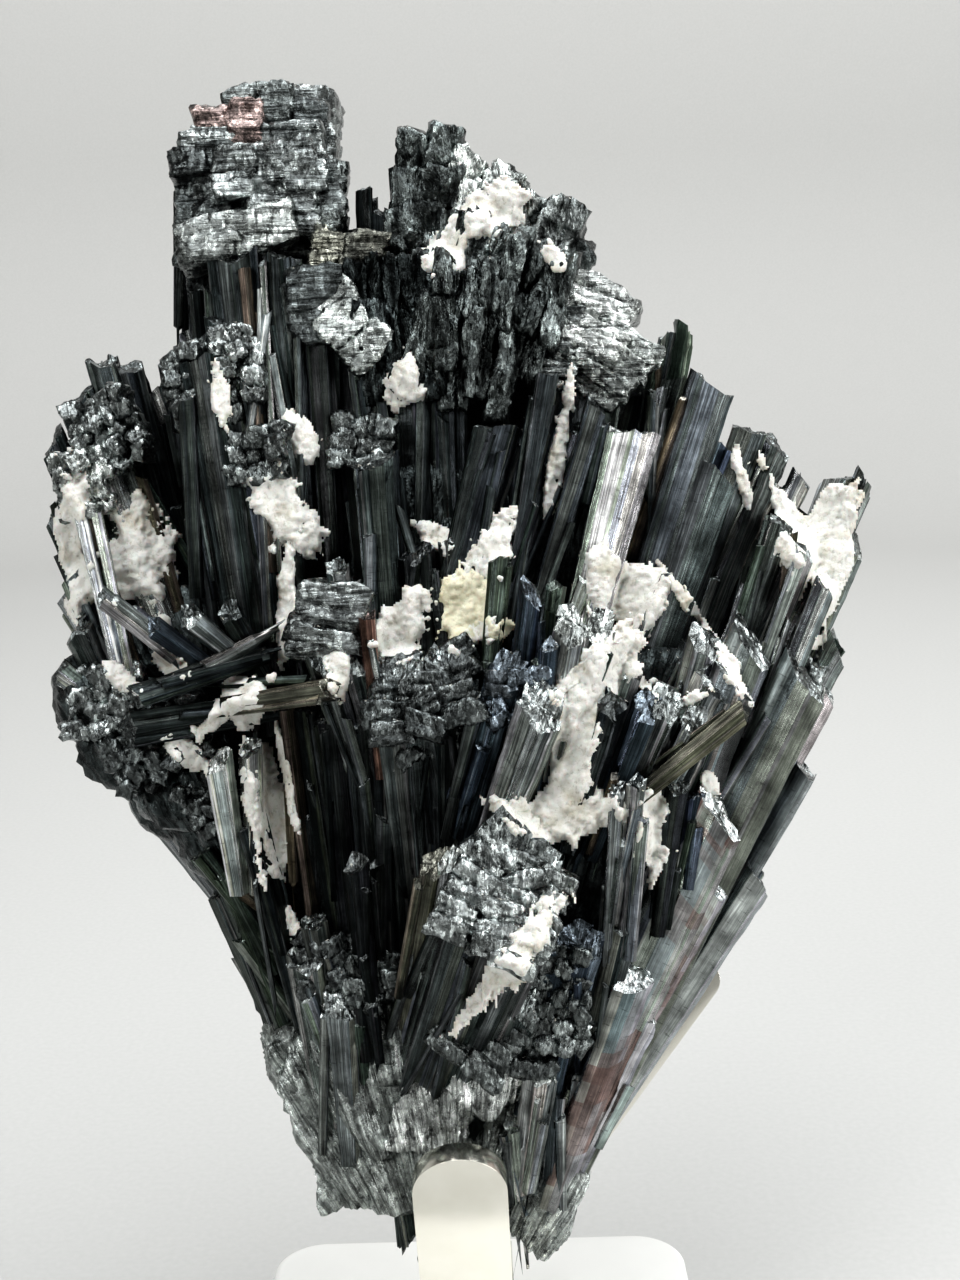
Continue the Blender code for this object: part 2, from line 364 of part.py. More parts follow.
def rod_mesh(name, rod):
    """A closed mesh of one rod, faces pointing out."""
    low, high, foot, cap = rod
    sides = len(low)
    verts = low + high + [foot, cap]
    faces = []
    for k in range(sides):
        n = (k + 1) % sides
        faces.append((k, n, sides + n, sides + k))
        faces.append((n, k, 2 * sides))
        faces.append((sides + k, sides + n, 2 * sides + 1))
    mesh = bpy.data.meshes.new(name)
    mesh.from_pydata([tuple(v) for v in verts], [], faces)
    return face_out(mesh)


def lump_mesh(name, middle, half, tilt, points, grow=0.0):
    """A closed faceted lump: the hull of uneven points on an ellipsoid."""
    rng = random.Random(name)
    centre = seen(*middle)
    scale = 1.0 + middle[2] / STATION_DISTANCE
    turn = Matrix.Rotation(math.radians(-tilt), 3, "Y")
    golden = math.pi * (3.0 - math.sqrt(5.0))
    bm = bmesh.new()
    for i in range(points):
        h = 1.0 - 2.0 * (i + 0.5) / points
        angle = golden * i + rng.uniform(-0.25, 0.25)
        flat = math.sqrt(1.0 - h * h)
        reach = rng.uniform(0.86, 1.06)
        spot = Vector((math.cos(angle) * flat * half[0], math.sin(angle) * flat * half[2], h * half[1]))
        spot = spot * reach * scale
        spot += spot.normalized() * grow
        bm.verts.new(centre + turn @ spot)
    bmesh.ops.convex_hull(bm, input=bm.verts)
    bmesh.ops.delete(bm, geom=[v for v in bm.verts if not v.link_faces], context="VERTS")
    mesh = bpy.data.meshes.new(name)
    bm.to_mesh(mesh)
    bm.free()
    return face_out(mesh)


def face_out(mesh):
    """Turns a closed mesh's faces outwards."""
    bm = bmesh.new()
    bm.from_mesh(mesh)
    bmesh.ops.recalc_face_normals(bm, faces=bm.faces)
    if bm.calc_volume(signed=True) < 0.0:
        bmesh.ops.reverse_faces(bm, faces=bm.faces)
    bm.to_mesh(mesh)
    bm.free()
    return mesh


def boolean(obj, others, operation):
    """Applies one exact Boolean of an object with several others, which are removed after it."""
    group = bpy.data.collections.new("operands")
    for other in others:
        group.objects.link(other)
    mod = obj.modifiers.new(operation.lower(), "BOOLEAN")
    mod.operation = operation
    mod.solver = "EXACT"
    mod.operand_type = "COLLECTION"
    mod.collection = group
    graph = bpy.context.evaluated_depsgraph_get()
    result = bpy.data.meshes.new_from_object(obj.evaluated_get(graph))
    obj.modifiers.clear()
    obj.data = result
    for other in others:
        bpy.data.objects.remove(other)
    bpy.data.collections.remove(group)


def thin_out(obj, triangles):
    """Takes out the smallest facets, where crystals barely cross, down to a number of triangles."""
    mod = obj.modifiers.new("thin out", "DECIMATE")
    mod.ratio = min(1.0, triangles / len(obj.data.polygons))
    mod.use_collapse_triangulate = True
    graph = bpy.context.evaluated_depsgraph_get()
    result = bpy.data.meshes.new_from_object(obj.evaluated_get(graph))
    obj.modifiers.clear()
    obj.data = result


def keep_largest(mesh):
    """Leaves only the largest closed body of a mesh, with its doubles merged."""
    bm = bmesh.new()
    bm.from_mesh(mesh)
    bmesh.ops.remove_doubles(bm, verts=bm.verts, dist=1e-5)
    bmesh.ops.dissolve_degenerate(bm, edges=bm.edges, dist=1e-5)
    bmesh.ops.triangulate(bm, faces=bm.faces)
    left = set(bm.verts)
    bodies = []
    while left:
        body, stack = set(), [left.pop()]
        while stack:
            vert = stack.pop()
            body.add(vert)
            for edge in vert.link_edges:
                other = edge.other_vert(vert)
                if other in left:
                    left.discard(other)
                    stack.append(other)
        bodies.append(body)
    bodies.sort(key=len)
    for body in bodies[:-1]:
        bmesh.ops.delete(bm, geom=list(body), context="VERTS")
    bm.to_mesh(mesh)
    bm.free()


def crystal_specs():
    """Every crystal of the spray, the back fan's worked out from its root."""
    specs = []
    for group in (TOWER, SECOND_TOWER, LAMINATED, RIGHT_WING, FLANK, RIGHT_CENTRE, CENTRE,
                  DARK_COLUMNS, LEFT_WING, MID_LEFT):
        specs.extend(group)
    for i, (x, z, y, width) in enumerate(BACK_FAN):
        specs.append((f"back_{i:02d}", BACK_ROOT, (x, z, y), (width, BACK_THICK), 1, (0.0, -0.2)))
    specs.append(SPIKE)
    return specs


def stibnite_spray(mat):
    """Fuses every crystal and lump of the spray into one solid."""
    pieces = []
    for spec in crystal_specs():
        for rod in rods(spec):
            pieces.append(new_object("rod", rod_mesh("rod", rod)))
    for name, middle, half, tilt in LUMPS:
        points = 30 if max(half) > 12 else 20
        pieces.append(new_object("lump", lump_mesh(name, middle, half, tilt, points)))
    spray = pieces.pop()
    spray.name = "stibnite_spray"
    boolean(spray, pieces, "UNION")
    keep_largest(spray.data)
    thin_out(spray, SPRAY_TRIANGLES)
    spray.data.materials.clear()
    spray.data.materials.append(mat)
    spray.data.transform(specimen_matrix())
    return spray


def calcite(name, lumps, mat):
    """One patch of calcite, cut back where crystals run through it."""
    bodies = []
    for i, (middle, half, tilt) in enumerate(lumps):
        bodies.append(new_object("lump", lump_mesh(f"{name}_{i}", middle, half, tilt, 20)))
    patch = bodies[0]
    patch.name = name
    if len(bodies) > 1:
        boolean(patch, bodies[1:], "UNION")
    low = Vector([min(v.co[k] for v in patch.data.vertices) for k in range(3)])
    high = Vector([max(v.co[k] for v in patch.data.vertices) for k in range(3)])
    cutters = []
    for spec in crystal_specs():
        for rod in rods(spec, GAP):
            if near(rod[0] + rod[1], low, high):
                cutters.append(new_object("cutter", rod_mesh("cutter", rod)))
    for lump, middle, half, tilt in LUMPS:
        points = 30 if max(half) > 12 else 20
        mesh = lump_mesh(lump, middle, half, tilt, points, GAP)
        if near([v.co for v in mesh.vertices], low, high):
            cutters.append(new_object("cutter", mesh))
    boolean(patch, cutters, "DIFFERENCE")
    keep_largest(patch.data)
    patch.data.materials.clear()
    patch.data.materials.append(mat)
    patch.data.transform(specimen_matrix())
    return patch


def polar(centre, radius, degrees):
    """A point on a circle, the angle counted clockwise from straight up."""
    angle = math.radians(degrees)
    return (centre[0] + radius * math.sin(angle), centre[1] + radius * math.cos(angle))


def round_tip(centre, turn, steps=8):
    """The half circle that ends an arm, from its right side to its left."""
    return [polar(centre, ARM_HALF, turn + 90.0 - 180.0 * k / steps) for k in range(steps + 1)]


def plate(outline, thick):
    """A flat plate: an outline in X and Z, its front face at depth zero, extruded to the back."""
    bm = bmesh.new()
    face = bm.faces.new([bm.verts.new((x, 0.0, z)) for x, z in outline])
    grown = bmesh.ops.extrude_face_region(bm, geom=[face])
    moved = [g for g in grown["geom"] if isinstance(g, bmesh.types.BMVert)]
    bmesh.ops.translate(bm, verts=moved, vec=(0.0, thick, 0.0))
    mesh = bpy.data.meshes.new("plate")
    bm.to_mesh(mesh)
    bm.free()
    return face_out(mesh)


def stand_easel(mat):
    """The steel easel: back plate, ledge and tab as one bent piece, cut level just above the base."""
    outline = list(HUB_RIGHT) + round_tip(ARM_TIP_RIGHT, ARM_TURN_RIGHT) + list(HUB_CROTCH)
    outline += round_tip(ARM_TIP_LEFT, ARM_TURN_LEFT) + list(HUB_LEFT)
    back = new_object("stand_easel", plate(outline, PLATE_THICK))
    back.data.transform(Matrix.Translation((0.0, BACK_FACE, 0.0)))

    half = TAB_WIDTH / 2.0
    foot, top = Vector(TAB_FOOT), Vector(TAB_TOP)
    length = (top - foot).length
    arc = [polar((0.0, length - half), half, 90.0 - 180.0 * k / 16) for k in range(17)]
    tab = new_object("tab", plate([(-half, 0.0), (half, 0.0)] + arc, PLATE_THICK))
    rise = (top - foot).normalized()
    across = Vector((0.0, 1.0, 0.0)).cross(rise).normalized()
    tab.data.transform(Matrix.Translation(foot) @ Matrix((across, rise.cross(across), rise)).transposed().to_4x4())

    ledge_length = BACK_FACE + 1.0 - TAB_FOOT[1]
    low = LEDGE_TOP - PLATE_THICK
    ledge_outline = ((-half, low), (half, low), (half, LEDGE_TOP), (-half, LEDGE_TOP))
    ledge = new_object("ledge", plate(ledge_outline, ledge_length))
    ledge.data.transform(Matrix.Translation((TAB_FOOT[0], TAB_FOOT[1] + 0.4, 0.0)))
    boolean(back, [tab, ledge], "UNION")
    back.data.transform(specimen_matrix())

    bm = bmesh.new()
    bm.from_mesh(back.data)
    level = (BASE_SIZE[2] + GAP) * MM
    cut = bmesh.ops.bisect_plane(bm, geom=bm.verts[:] + bm.edges[:] + bm.faces[:], plane_co=(0, 0, level),
                                 plane_no=(0, 0, 1), clear_inner=True)
    rim = [g for g in cut["geom_cut"] if isinstance(g, bmesh.types.BMEdge)]
    bmesh.ops.contextual_create(bm, geom=rim)
    bm.to_mesh(back.data)
    bm.free()
    face_out(back.data)
    back.data.materials.clear()
    back.data.materials.append(mat)
    return back


def stand_base(mat):
    """The white block: a rounded square with softly rounded upper and lower edges."""
    width, depth, height = (size * MM for size in BASE_SIZE)
    bm = bmesh.new()
    bmesh.ops.create_cube(bm, size=1.0)
    bmesh.ops.scale(bm, verts=bm.verts, vec=(width, depth, height))
    upright = [e for e in bm.edges if abs(e.verts[0].co.z - e.verts[1].co.z) > height / 2.0]
    bmesh.ops.bevel(bm, geom=upright, offset=BASE_CORNER * MM, segments=8, profile=0.5, affect="EDGES")
    level = [e for e in bm.edges if abs(e.verts[0].co.z - e.verts[1].co.z) < height / 100.0]
    bmesh.ops.bevel(bm, geom=level, offset=BASE_EDGE * MM, segments=3, profile=0.5, affect="EDGES")
    bmesh.ops.translate(bm, verts=bm.verts, vec=(0.0, 0.0, height / 2.0))
    mesh = bpy.data.meshes.new("stand_base")
    bm.to_mesh(mesh)
    bm.free()
    return new_object("stand_base", face_out(mesh), mat)


def near(points, low, high):
    """Whether the box of some points meets the box from low to high."""
    for k in range(3):
        if min(p[k] for p in points) > high[k] or max(p[k] for p in points) < low[k]:
            return False
    return True


def main():
    for obj in list(bpy.data.objects):
        bpy.data.objects.remove(obj, do_unlink=True)
    stibnite = material("stibnite", (0.045, 0.05, 0.058), 0.3, 1.0)
    white = material("calcite", (0.82, 0.81, 0.76), 0.55, 0.0)
    stibnite_spray(stibnite)
    steel = material("polished_steel", (0.72, 0.71, 0.68), 0.12, 1.0)
    block = material("white_block", (0.86, 0.86, 0.84), 0.35, 0.0)
    for name, lumps in CALCITE:
        calcite(name, lumps, white)
    stand_easel(steel)
    stand_base(block)


main()
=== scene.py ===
"""How the stibnite crystal spray on its easel looks: crystals, calcite, easel, base and a plain studio."""

import math
import random

import bmesh
import bpy
import numpy as np
from mathutils import Matrix, Vector
from mathutils.bvhtree import BVHTree


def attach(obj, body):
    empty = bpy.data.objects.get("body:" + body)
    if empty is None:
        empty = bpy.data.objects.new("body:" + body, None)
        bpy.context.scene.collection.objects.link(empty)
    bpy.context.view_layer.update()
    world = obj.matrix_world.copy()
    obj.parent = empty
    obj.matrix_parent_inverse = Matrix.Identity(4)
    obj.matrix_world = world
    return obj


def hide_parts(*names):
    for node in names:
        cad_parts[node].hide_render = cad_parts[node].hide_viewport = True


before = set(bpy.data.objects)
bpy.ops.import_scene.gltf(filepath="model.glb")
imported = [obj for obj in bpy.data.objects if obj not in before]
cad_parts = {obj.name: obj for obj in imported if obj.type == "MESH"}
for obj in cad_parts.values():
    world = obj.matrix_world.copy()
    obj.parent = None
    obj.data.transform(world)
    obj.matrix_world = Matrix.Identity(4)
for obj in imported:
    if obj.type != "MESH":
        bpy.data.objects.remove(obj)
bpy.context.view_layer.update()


# ---- White base block ----------------------------------------------------------------------------
# The easel's base: a 66 mm square block, 15 mm high, cast in white resin and satin sprayed, with
# corners of 8 mm and softly rounded edges. The easel's stem stands on its top.
MM = 0.001
BLOCK_SIDE = 0.066
BLOCK_HEIGHT = 0.015
BLOCK_CORNER = 0.008
BLOCK_RIM = 0.0012


def hexa(colour):
    """An sRGB hex colour as linear RGBA."""
    parts = [int(colour[i:i + 2], 16) / 255.0 for i in (1, 3, 5)]
    return tuple(c / 12.92 if c < 0.04045 else ((c + 0.055) / 1.055) ** 2.4 for c in parts) + (1.0,)


def new_material(name):
    """A material with only its Principled shader and output; returns (material, tree, shader)."""
    mat = bpy.data.materials.new(name)
    mat.use_nodes = True
    return mat, mat.node_tree, mat.node_tree.nodes["Principled BSDF"]


def add(tree, kind, inputs=(), stops=(), **settings):
    """Adds one node. Settings are its properties, or inputs by name.

    Inputs are pairs of an input's name or number and a socket or value, and stops are a colour ramp's
    (position, colour) pairs. A colour is hex, or a grey number in a ramp."""
    node = tree.nodes.new("ShaderNode" + kind)
    for key, value in settings.items():
        if hasattr(node, key):
            setattr(node, key, value)
        else:
            node.inputs[key.replace("_", " ")].default_value = value
    for key, value in inputs:
        if isinstance(value, bpy.types.NodeSocket):
            tree.links.new(value, node.inputs[key])
        else:
            node.inputs[key].default_value = hexa(value) if isinstance(value, str) else value
    for _ in stops[2:]:
        node.color_ramp.elements.new(0.5)
    for number, (place, colour) in enumerate(stops):
        stop = node.color_ramp.elements[number]
        stop.position = place
        stop.color = hexa(colour) if isinstance(colour, str) else (colour, colour, colour, 1.0)
    return node


def millimetres(tree):
    """Object coordinates in millimetres."""
    coords = add(tree, "TexCoord").outputs["Object"]
    return add(tree, "VectorMath", [(0, coords)], operation="SCALE", Scale=1.0 / MM).outputs[0]


def finish(tree, shader, tone, roughness, layers):
    """Gives a shader its colour, relief and, where it varies, roughness.

    The relief is bumps one over another, each (height, strength, distance in mm)."""
    below = []
    for height, strength, distance in layers:
        bump = add(tree, "Bump", [("Height", height)] + below, Strength=strength, Distance=distance * MM)
        below = [("Normal", bump.outputs["Normal"])]
    tree.links.new(bump.outputs["Normal"], shader.inputs["Normal"])
    tree.links.new(tone, shader.inputs["Base Color"])
    if roughness:
        tree.links.new(roughness, shader.inputs["Roughness"])


def pick(obj):
    """Selects one object alone and makes it the active one."""
    bpy.ops.object.select_all(action="DESELECT")
    obj.select_set(True)
    bpy.context.view_layer.objects.active = obj


def smooth_by_angle(obj, degrees):
    """Shades one object smooth, with edges sharper than an angle kept."""
    pick(obj)
    bpy.ops.object.shade_smooth_by_angle(angle=math.radians(degrees))


def apply_modifiers(obj):
    """Applies every modifier of one object."""
    pick(obj)
    for mod in list(obj.modifiers):
        bpy.ops.object.modifier_apply(modifier=mod.name)


# Satin sprayed resin: an even, soft white with a faint mottle and the fine orange peel of the spray,
# drawn 0.6 mm wide, coarser than it is, so that it shows.
resin, tree, shader = new_material("satin_white_resin")
place = millimetres(tree)
mottle = add(tree, "TexNoise", [("Vector", place)], Scale=0.06, Detail=3.0).outputs["Fac"]
tone = add(tree, "ValToRGB", [("Fac", mottle)], [(0.3, "#d9d9d6"), (0.7, "#dfdfdc")]).outputs["Color"]
peel = add(tree, "TexNoise", [("Vector", place)], Scale=1.6, Detail=4.0, Roughness=0.6).outputs["Fac"]
satin = add(tree, "MapRange", [("Value", peel)], To_Min=0.28, To_Max=0.40).outputs[0]
finish(tree, shader, tone, satin, [(peel, 0.12, 0.08)])
shader.inputs["Coat Weight"].default_value = 0.25
shader.inputs["Coat Roughness"].default_value = 0.22

bpy.ops.mesh.primitive_cube_add(size=1.0, location=(0.0, 0.0, BLOCK_HEIGHT / 2.0),
                                scale=(BLOCK_SIDE, BLOCK_SIDE, BLOCK_HEIGHT))
base = bpy.context.object
base.name = "base_block"
bpy.ops.object.transform_apply(location=True, rotation=True, scale=True)
corners = base.modifiers.new("corners", "BEVEL")
corners.limit_method = "WEIGHT"
corners.width = BLOCK_CORNER
corners.segments = 16
weights = base.data.attributes.new("bevel_weight_edge", "FLOAT", "EDGE")
for edge in base.data.edges:
    a, b = (base.data.vertices[i].co for i in edge.vertices)
    upright = abs(a.z - b.z) > BLOCK_HEIGHT / 2.0
    weights.data[edge.index].value = 1.0 if upright else 0.0
rims = base.modifiers.new("rims", "BEVEL")
rims.limit_method = "ANGLE"
rims.angle_limit = math.radians(60.0)
rims.width = BLOCK_RIM
rims.segments = 5
apply_modifiers(base)
smooth_by_angle(base, 40.0)
base.data.materials.append(resin)
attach(base, "root")
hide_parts("stand_base")


# ---- Polished steel easel ------------------------------------------------------------------------
# A Y-shaped back and a round-topped tab cut from one 3 mm stainless plate, bent forward under the
# foot as a ledge and polished. Its stem stands on the base block; the specimen only leans on it.
PLATE_THICK = 3.0                   # the plate's sizes, in mm
TAB_HALF = 6.25
EASED = 0.00035                     # the rounding of its edges, in m
STEM_END = 0.0153                   # its stem's lower end, a hair over the block's top, in m
lean = Matrix.Rotation(math.radians(-12.0), 4, "X") @ Matrix.Rotation(math.radians(1.5), 4, "Y")
# The specimen's own frame is in mm, from the tip of its foot: X along its face, Y to its back, Z up.
STANDING = Matrix.Scale(MM, 4) @ Matrix.Translation((-2.4, -7.0, 37.0)) @ lean


def polar(centre, radius, degrees):
    """A point on a circle, the angle counted clockwise from straight up."""
    angle = math.radians(degrees)
    return (centre[0] + radius * math.sin(angle), centre[1] + radius * math.cos(angle))


def plate(name, outline, thick):
    """A flat plate in X and Z: a filled outline extruded back."""
    bm = bmesh.new()
    face = bm.faces.new([bm.verts.new((x, 0.0, z)) for x, z in outline])
    grown = bmesh.ops.extrude_face_region(bm, geom=[face])
    moved = [g for g in grown["geom"] if isinstance(g, bmesh.types.BMVert)]
    bmesh.ops.translate(bm, verts=moved, vec=(0.0, thick, 0.0))
    bmesh.ops.recalc_face_normals(bm, faces=bm.faces)
    mesh = bpy.data.meshes.new(name)
    bm.to_mesh(mesh)
    bm.free()
    obj = bpy.data.objects.new(name, mesh)
    bpy.context.scene.collection.objects.link(obj)
    return obj


def round_end(centre, radius, turn, steps):
    """The half circle that ends an arm or the tab, turned clockwise from straight up."""
    return [polar(centre, radius, turn + 90.0 - 180.0 * k / steps) for k in range(steps + 1)]


outline = [(-4.2, -30.0), (6.2, -30.0), (6.2, 0.5), (13.0, 2.0), (16.6, 5.6)]
outline += round_end((35.0, 35.6), 3.0, 34.6, 24) + [(13.0, 11.0), (-2.5, 8.3)]
outline += round_end((-27.6, 35.5), 3.0, -38.0, 24) + [(-6.2, 3.3), (-4.2, 0.5)]
easel = plate("easel", outline, PLATE_THICK)
easel.data.transform(Matrix.Translation((0.0, 10.5, 0.0)))
foot, top = Vector((1.2, -6.55, -6.0)), Vector((-0.1, -21.0, 18.5))
length = (top - foot).length
arc = round_end((0.0, length - TAB_HALF), TAB_HALF, 0.0, 48)
tab = plate("tab", [(-TAB_HALF, 0.0), (TAB_HALF, 0.0)] + arc, PLATE_THICK)
rise = (top - foot).normalized()
across = Vector((0.0, 1.0, 0.0)).cross(rise).normalized()
leaning = Matrix((across, rise.cross(across), rise)).transposed().to_4x4()
tab.data.transform(Matrix.Translation(foot) @ leaning)
ledge = plate("ledge", [(-TAB_HALF, -6.0), (TAB_HALF, -6.0), (TAB_HALF, -3.0), (-TAB_HALF, -3.0)], 18.05)
ledge.data.transform(Matrix.Translation((1.2, -6.15, 0.0)))
for other in (tab, ledge):
    union = easel.modifiers.new("union", "BOOLEAN")
    union.operation = "UNION"
    union.object = other
apply_modifiers(easel)
for other in (tab, ledge):
    bpy.data.objects.remove(other)
easel.data.transform(STANDING)
bm = bmesh.new()
bm.from_mesh(easel.data)
cut = bmesh.ops.bisect_plane(bm, geom=bm.verts[:] + bm.edges[:] + bm.faces[:],
                             plane_co=(0, 0, STEM_END), plane_no=(0, 0, 1), clear_inner=True)
rim = [g for g in cut["geom_cut"] if isinstance(g, bmesh.types.BMEdge)]
bmesh.ops.contextual_create(bm, geom=rim)
bmesh.ops.remove_doubles(bm, verts=bm.verts, dist=1e-6)
bmesh.ops.recalc_face_normals(bm, faces=bm.faces)
bm.to_mesh(easel.data)
bm.free()
ease = easel.modifiers.new("eased edges", "BEVEL")
ease.limit_method = "ANGLE"
ease.angle_limit = math.radians(40.0)
ease.width = EASED
ease.segments = 3
apply_modifiers(easel)
smooth_by_angle(easel, 35.0)

# Polished stainless steel: a bright mirror, softened by smears and by the upright lines of the polishing,
# drawn 0.1 mm apart. Its warm cream tint and its brightness are partly a painted reflection of the warm
# surroundings it mirrors.
steel, tree, shader = new_material("polished_stainless_steel")
place = millimetres(tree)
smear = add(tree, "TexNoise", [("Vector", place)], Scale=0.12, Detail=4.0, Roughness=0.6).outputs["Fac"]
tone = add(tree, "ValToRGB", [("Fac", smear)], [(0.3, "#e9e6da"), (0.7, "#f4f1e8")]).outputs["Color"]
gloss = add(tree, "MapRange", [("Value", smear)], To_Min=0.10, To_Max=0.24).outputs[0]
upright = add(tree, "VectorMath", [(0, place), (1, (9.0, 9.0, 0.25))], operation="MULTIPLY").outputs[0]
streaks = add(tree, "TexNoise", [("Vector", upright)], Scale=1.0, Detail=3.0).outputs["Fac"]
finish(tree, shader, tone, gloss, [(streaks, 0.05, 0.04)])
shader.inputs["Metallic"].default_value = 1.0
easel.data.materials.append(steel)
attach(easel, "root")
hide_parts("stand_easel")


# ---- Stibnite: how a crystal is made -------------------------------------------------------------
# Each crystal is a bundle of rods with an uneven polygon for a section. A rod's sides are divided
# into narrow ribs that stand a little proud or back, many of them broken off short of its end, and
# its end is a rough break. Thin laths grow along it. All of the spray is one growth.
STATION = (2.8, 85.5)               # the point of the face plane right in front of the station point, in mm
STATION_DISTANCE = 250.0
# Tints of the crystals. Besides the metal's own tones they paint light and shade: black and dark are far
# darker than lead-grey stibnite, and are painted shade for crystals deep in the hollows, at the tower's foot
# and on its shadowed left face, and for the dark room that the faces reflect. Sheen is a light grey, a
# painted sheen for the glancing faces of the flank.
TINTS = {
    "black": "#292c2c", "dark": "#383d3d", "steel": "#535857", "blue": "#46505a", "green": "#434d45",
    "bronze": "#504a40", "rose": "#6a544d", "olive": "#66655a", "pale": "#9da29f", "grey": "#7c8180",
    "sheen": "#abb0b0", "rust": "#8a7671", "pearl": "#c3c7c4",
}
PLAIN = {                           # the look of a plain crystal, sizes in mm
    "rib": 0.85,                    # how wide its ribs are
    "depth": 0.34,                  # how far they stand out
    "broken": 0.5,                  # the share of ribs that break off short
    "ring": 0.9,                    # how closely its sides are divided near its end
    "ledge": 0.0,                   # how far fracture ledges stand out on its sides
    "wear": 0.10,                   # how uneven its sides are
    "end": "grain",                 # the form of its break: grain, foil, step or flat
    "rough": 0.9,                   # how rough the break is
    "laths": 6,                     # how many thin laths grow along it
    "vary": 0.34,                   # how much its ribs differ in tone
    "film": None,                   # the tint of a film lying on it in patches
}
KINDS = {                           # what each kind of crystal has otherwise
    "grain": {},
    "foil": {"end": "foil", "rough": 1.1},
    "step": {"end": "step", "rough": 1.0, "ledge": 0.7, "broken": 0.3, "rib": 1.2, "depth": 0.24},
    "prism": {"rough": 0.8, "broken": 0.35, "rib": 0.75, "depth": 0.24, "wear": 0.06},
    "smooth": {"end": "flat", "rough": 0.5, "broken": 0.12, "rib": 0.6, "depth": 0.10, "wear": 0.03,
               "laths": 2},
    "sheet": {"rough": 0.8, "broken": 0.08, "rib": 1.3, "depth": 0.06, "wear": 0.12, "laths": 1,
              "vary": 0.13},
    "rusty": {"rough": 0.8, "broken": 0.05, "rib": 1.3, "depth": 0.05, "wear": 0.15, "laths": 0,
              "vary": 0.10, "ring": 0.6, "end": "flat", "film": "rust"},
    "back": {"rough": 0.9, "broken": 0.4, "rib": 1.4, "depth": 0.4, "laths": 3, "ring": 1.6},
}


def seen(x, z, y):
    """The point at a depth behind (x, z) of the face plane, as it lines up from the station point."""
    y *= 1.0 + 0.35 * min(1.0, max(0.0, z / 80.0))
    k = 1.0 + y / STATION_DISTANCE
    return Vector((STATION[0] + (x - STATION[0]) * k, y, STATION[1] + (z - STATION[1]) * k))


def noise(points, size, seed=0, blocky=False):
    """Random values from -1 to 1 at some points, smooth or blocky, on a lattice with cells of a size."""
    spots = np.asarray(points, dtype=float) / size + seed * 17.37
    if blocky:
        sway = noise(points, 1.7 * size, seed + 31)[:, None] * (0.45, -0.4, 0.5)
        spots = spots + sway + noise(points, 0.9 * size, seed + 57)[:, None] * (-0.3, 0.35, 0.3)
    cell = np.floor(spots).astype(np.int64)
    part = spots - cell
    part = part * part * (3.0 - 2.0 * part)
    total = np.zeros(len(spots))
    for corner in range(1 if blocky else 8):
        step = np.array([(corner >> k) & 1 for k in range(3)])
        keys = (cell + step) * np.array([73856093, 19349663, 83492791])
        code = np.bitwise_xor(np.bitwise_xor(keys[:, 0], keys[:, 1]), keys[:, 2]) & 0xFFFFFFFF
        code = (code ^ (code >> 13)) * 1274126177 & 0xFFFFFFFF
        code = code ^ (code >> 16)
        weight = 1.0 if blocky else np.prod(np.where(step == 1, part, 1.0 - part), axis=1)
        total += weight * ((code & 0xFFFF) / 32767.5 - 1.0)
    return total


def section(width, thick, sides, rng):
    """The cross-section of a rod: an uneven polygon, boxy like a worn prism."""
    turn = rng.uniform(0.0, 2.0 * math.pi / sides)
    points = []
    for k in range(sides):
        angle = turn + 2.0 * math.pi * (k + rng.uniform(-0.18, 0.18)) / sides
        c, s = math.cos(angle), math.sin(angle)
        radius = (abs(c) ** 3 + abs(s) ** 3) ** (-1.0 / 3.0) * rng.uniform(0.94, 1.05)
        points.append((c * radius * width / 2.0, s * radius * thick / 2.0))
    return points


def rib_outline(corners, heights, rib, depth, rng):
    """Samples a rod's outline rib by rib: places, outward directions, offsets, end heights, rib numbers."""
    rows = []
    count = len(corners)
    number = 0
    for k in range(count):
        a, b = np.array(corners[k]), np.array(corners[(k + 1) % count])
        before = np.array(corners[k - 1])
        side = b - a
        long = max(np.linalg.norm(side), 1e-6)
        out = np.array((side[1], -side[0])) / long
        last = a - before
        last_out = np.array((last[1], -last[0])) / max(np.linalg.norm(last), 1e-6)
        corner_out = out + last_out
        corner_out /= max(np.linalg.norm(corner_out), 1e-6)
        ribs = max(1, int(round(long / rng.uniform(0.8 * rib, 1.2 * rib))))
        marks = sorted(rng.uniform(0.06, 0.94) for _ in range(ribs - 1))
        rows.append((a, corner_out, min(0.0, rng.gauss(-0.25, 0.3)) * depth, heights[k], number))
        for mark in marks:
            spot = a + side * mark
            level = heights[k] * (1.0 - mark) + heights[(k + 1) % count] * mark
            slip = side / long * 0.03
            rows.append((spot - slip, out, rng.gauss(-0.45, 0.5) * depth, level, number))
            number += 1
            rows.append((spot + slip, out, rng.gauss(-0.45, 0.5) * depth, level, number))
        number += 1
    spots = np.array([r[0] for r in rows])
    outs = np.array([r[1] for r in rows])
    offsets = np.clip(np.array([r[2] for r in rows]), -1.4 * depth, 0.3 * depth)
    return spots, outs, offsets, np.array([r[3] for r in rows]), np.array([r[4] for r in rows])


surfaces = []       # what has been grown so far, in the specimen's frame, for laying calcite on it


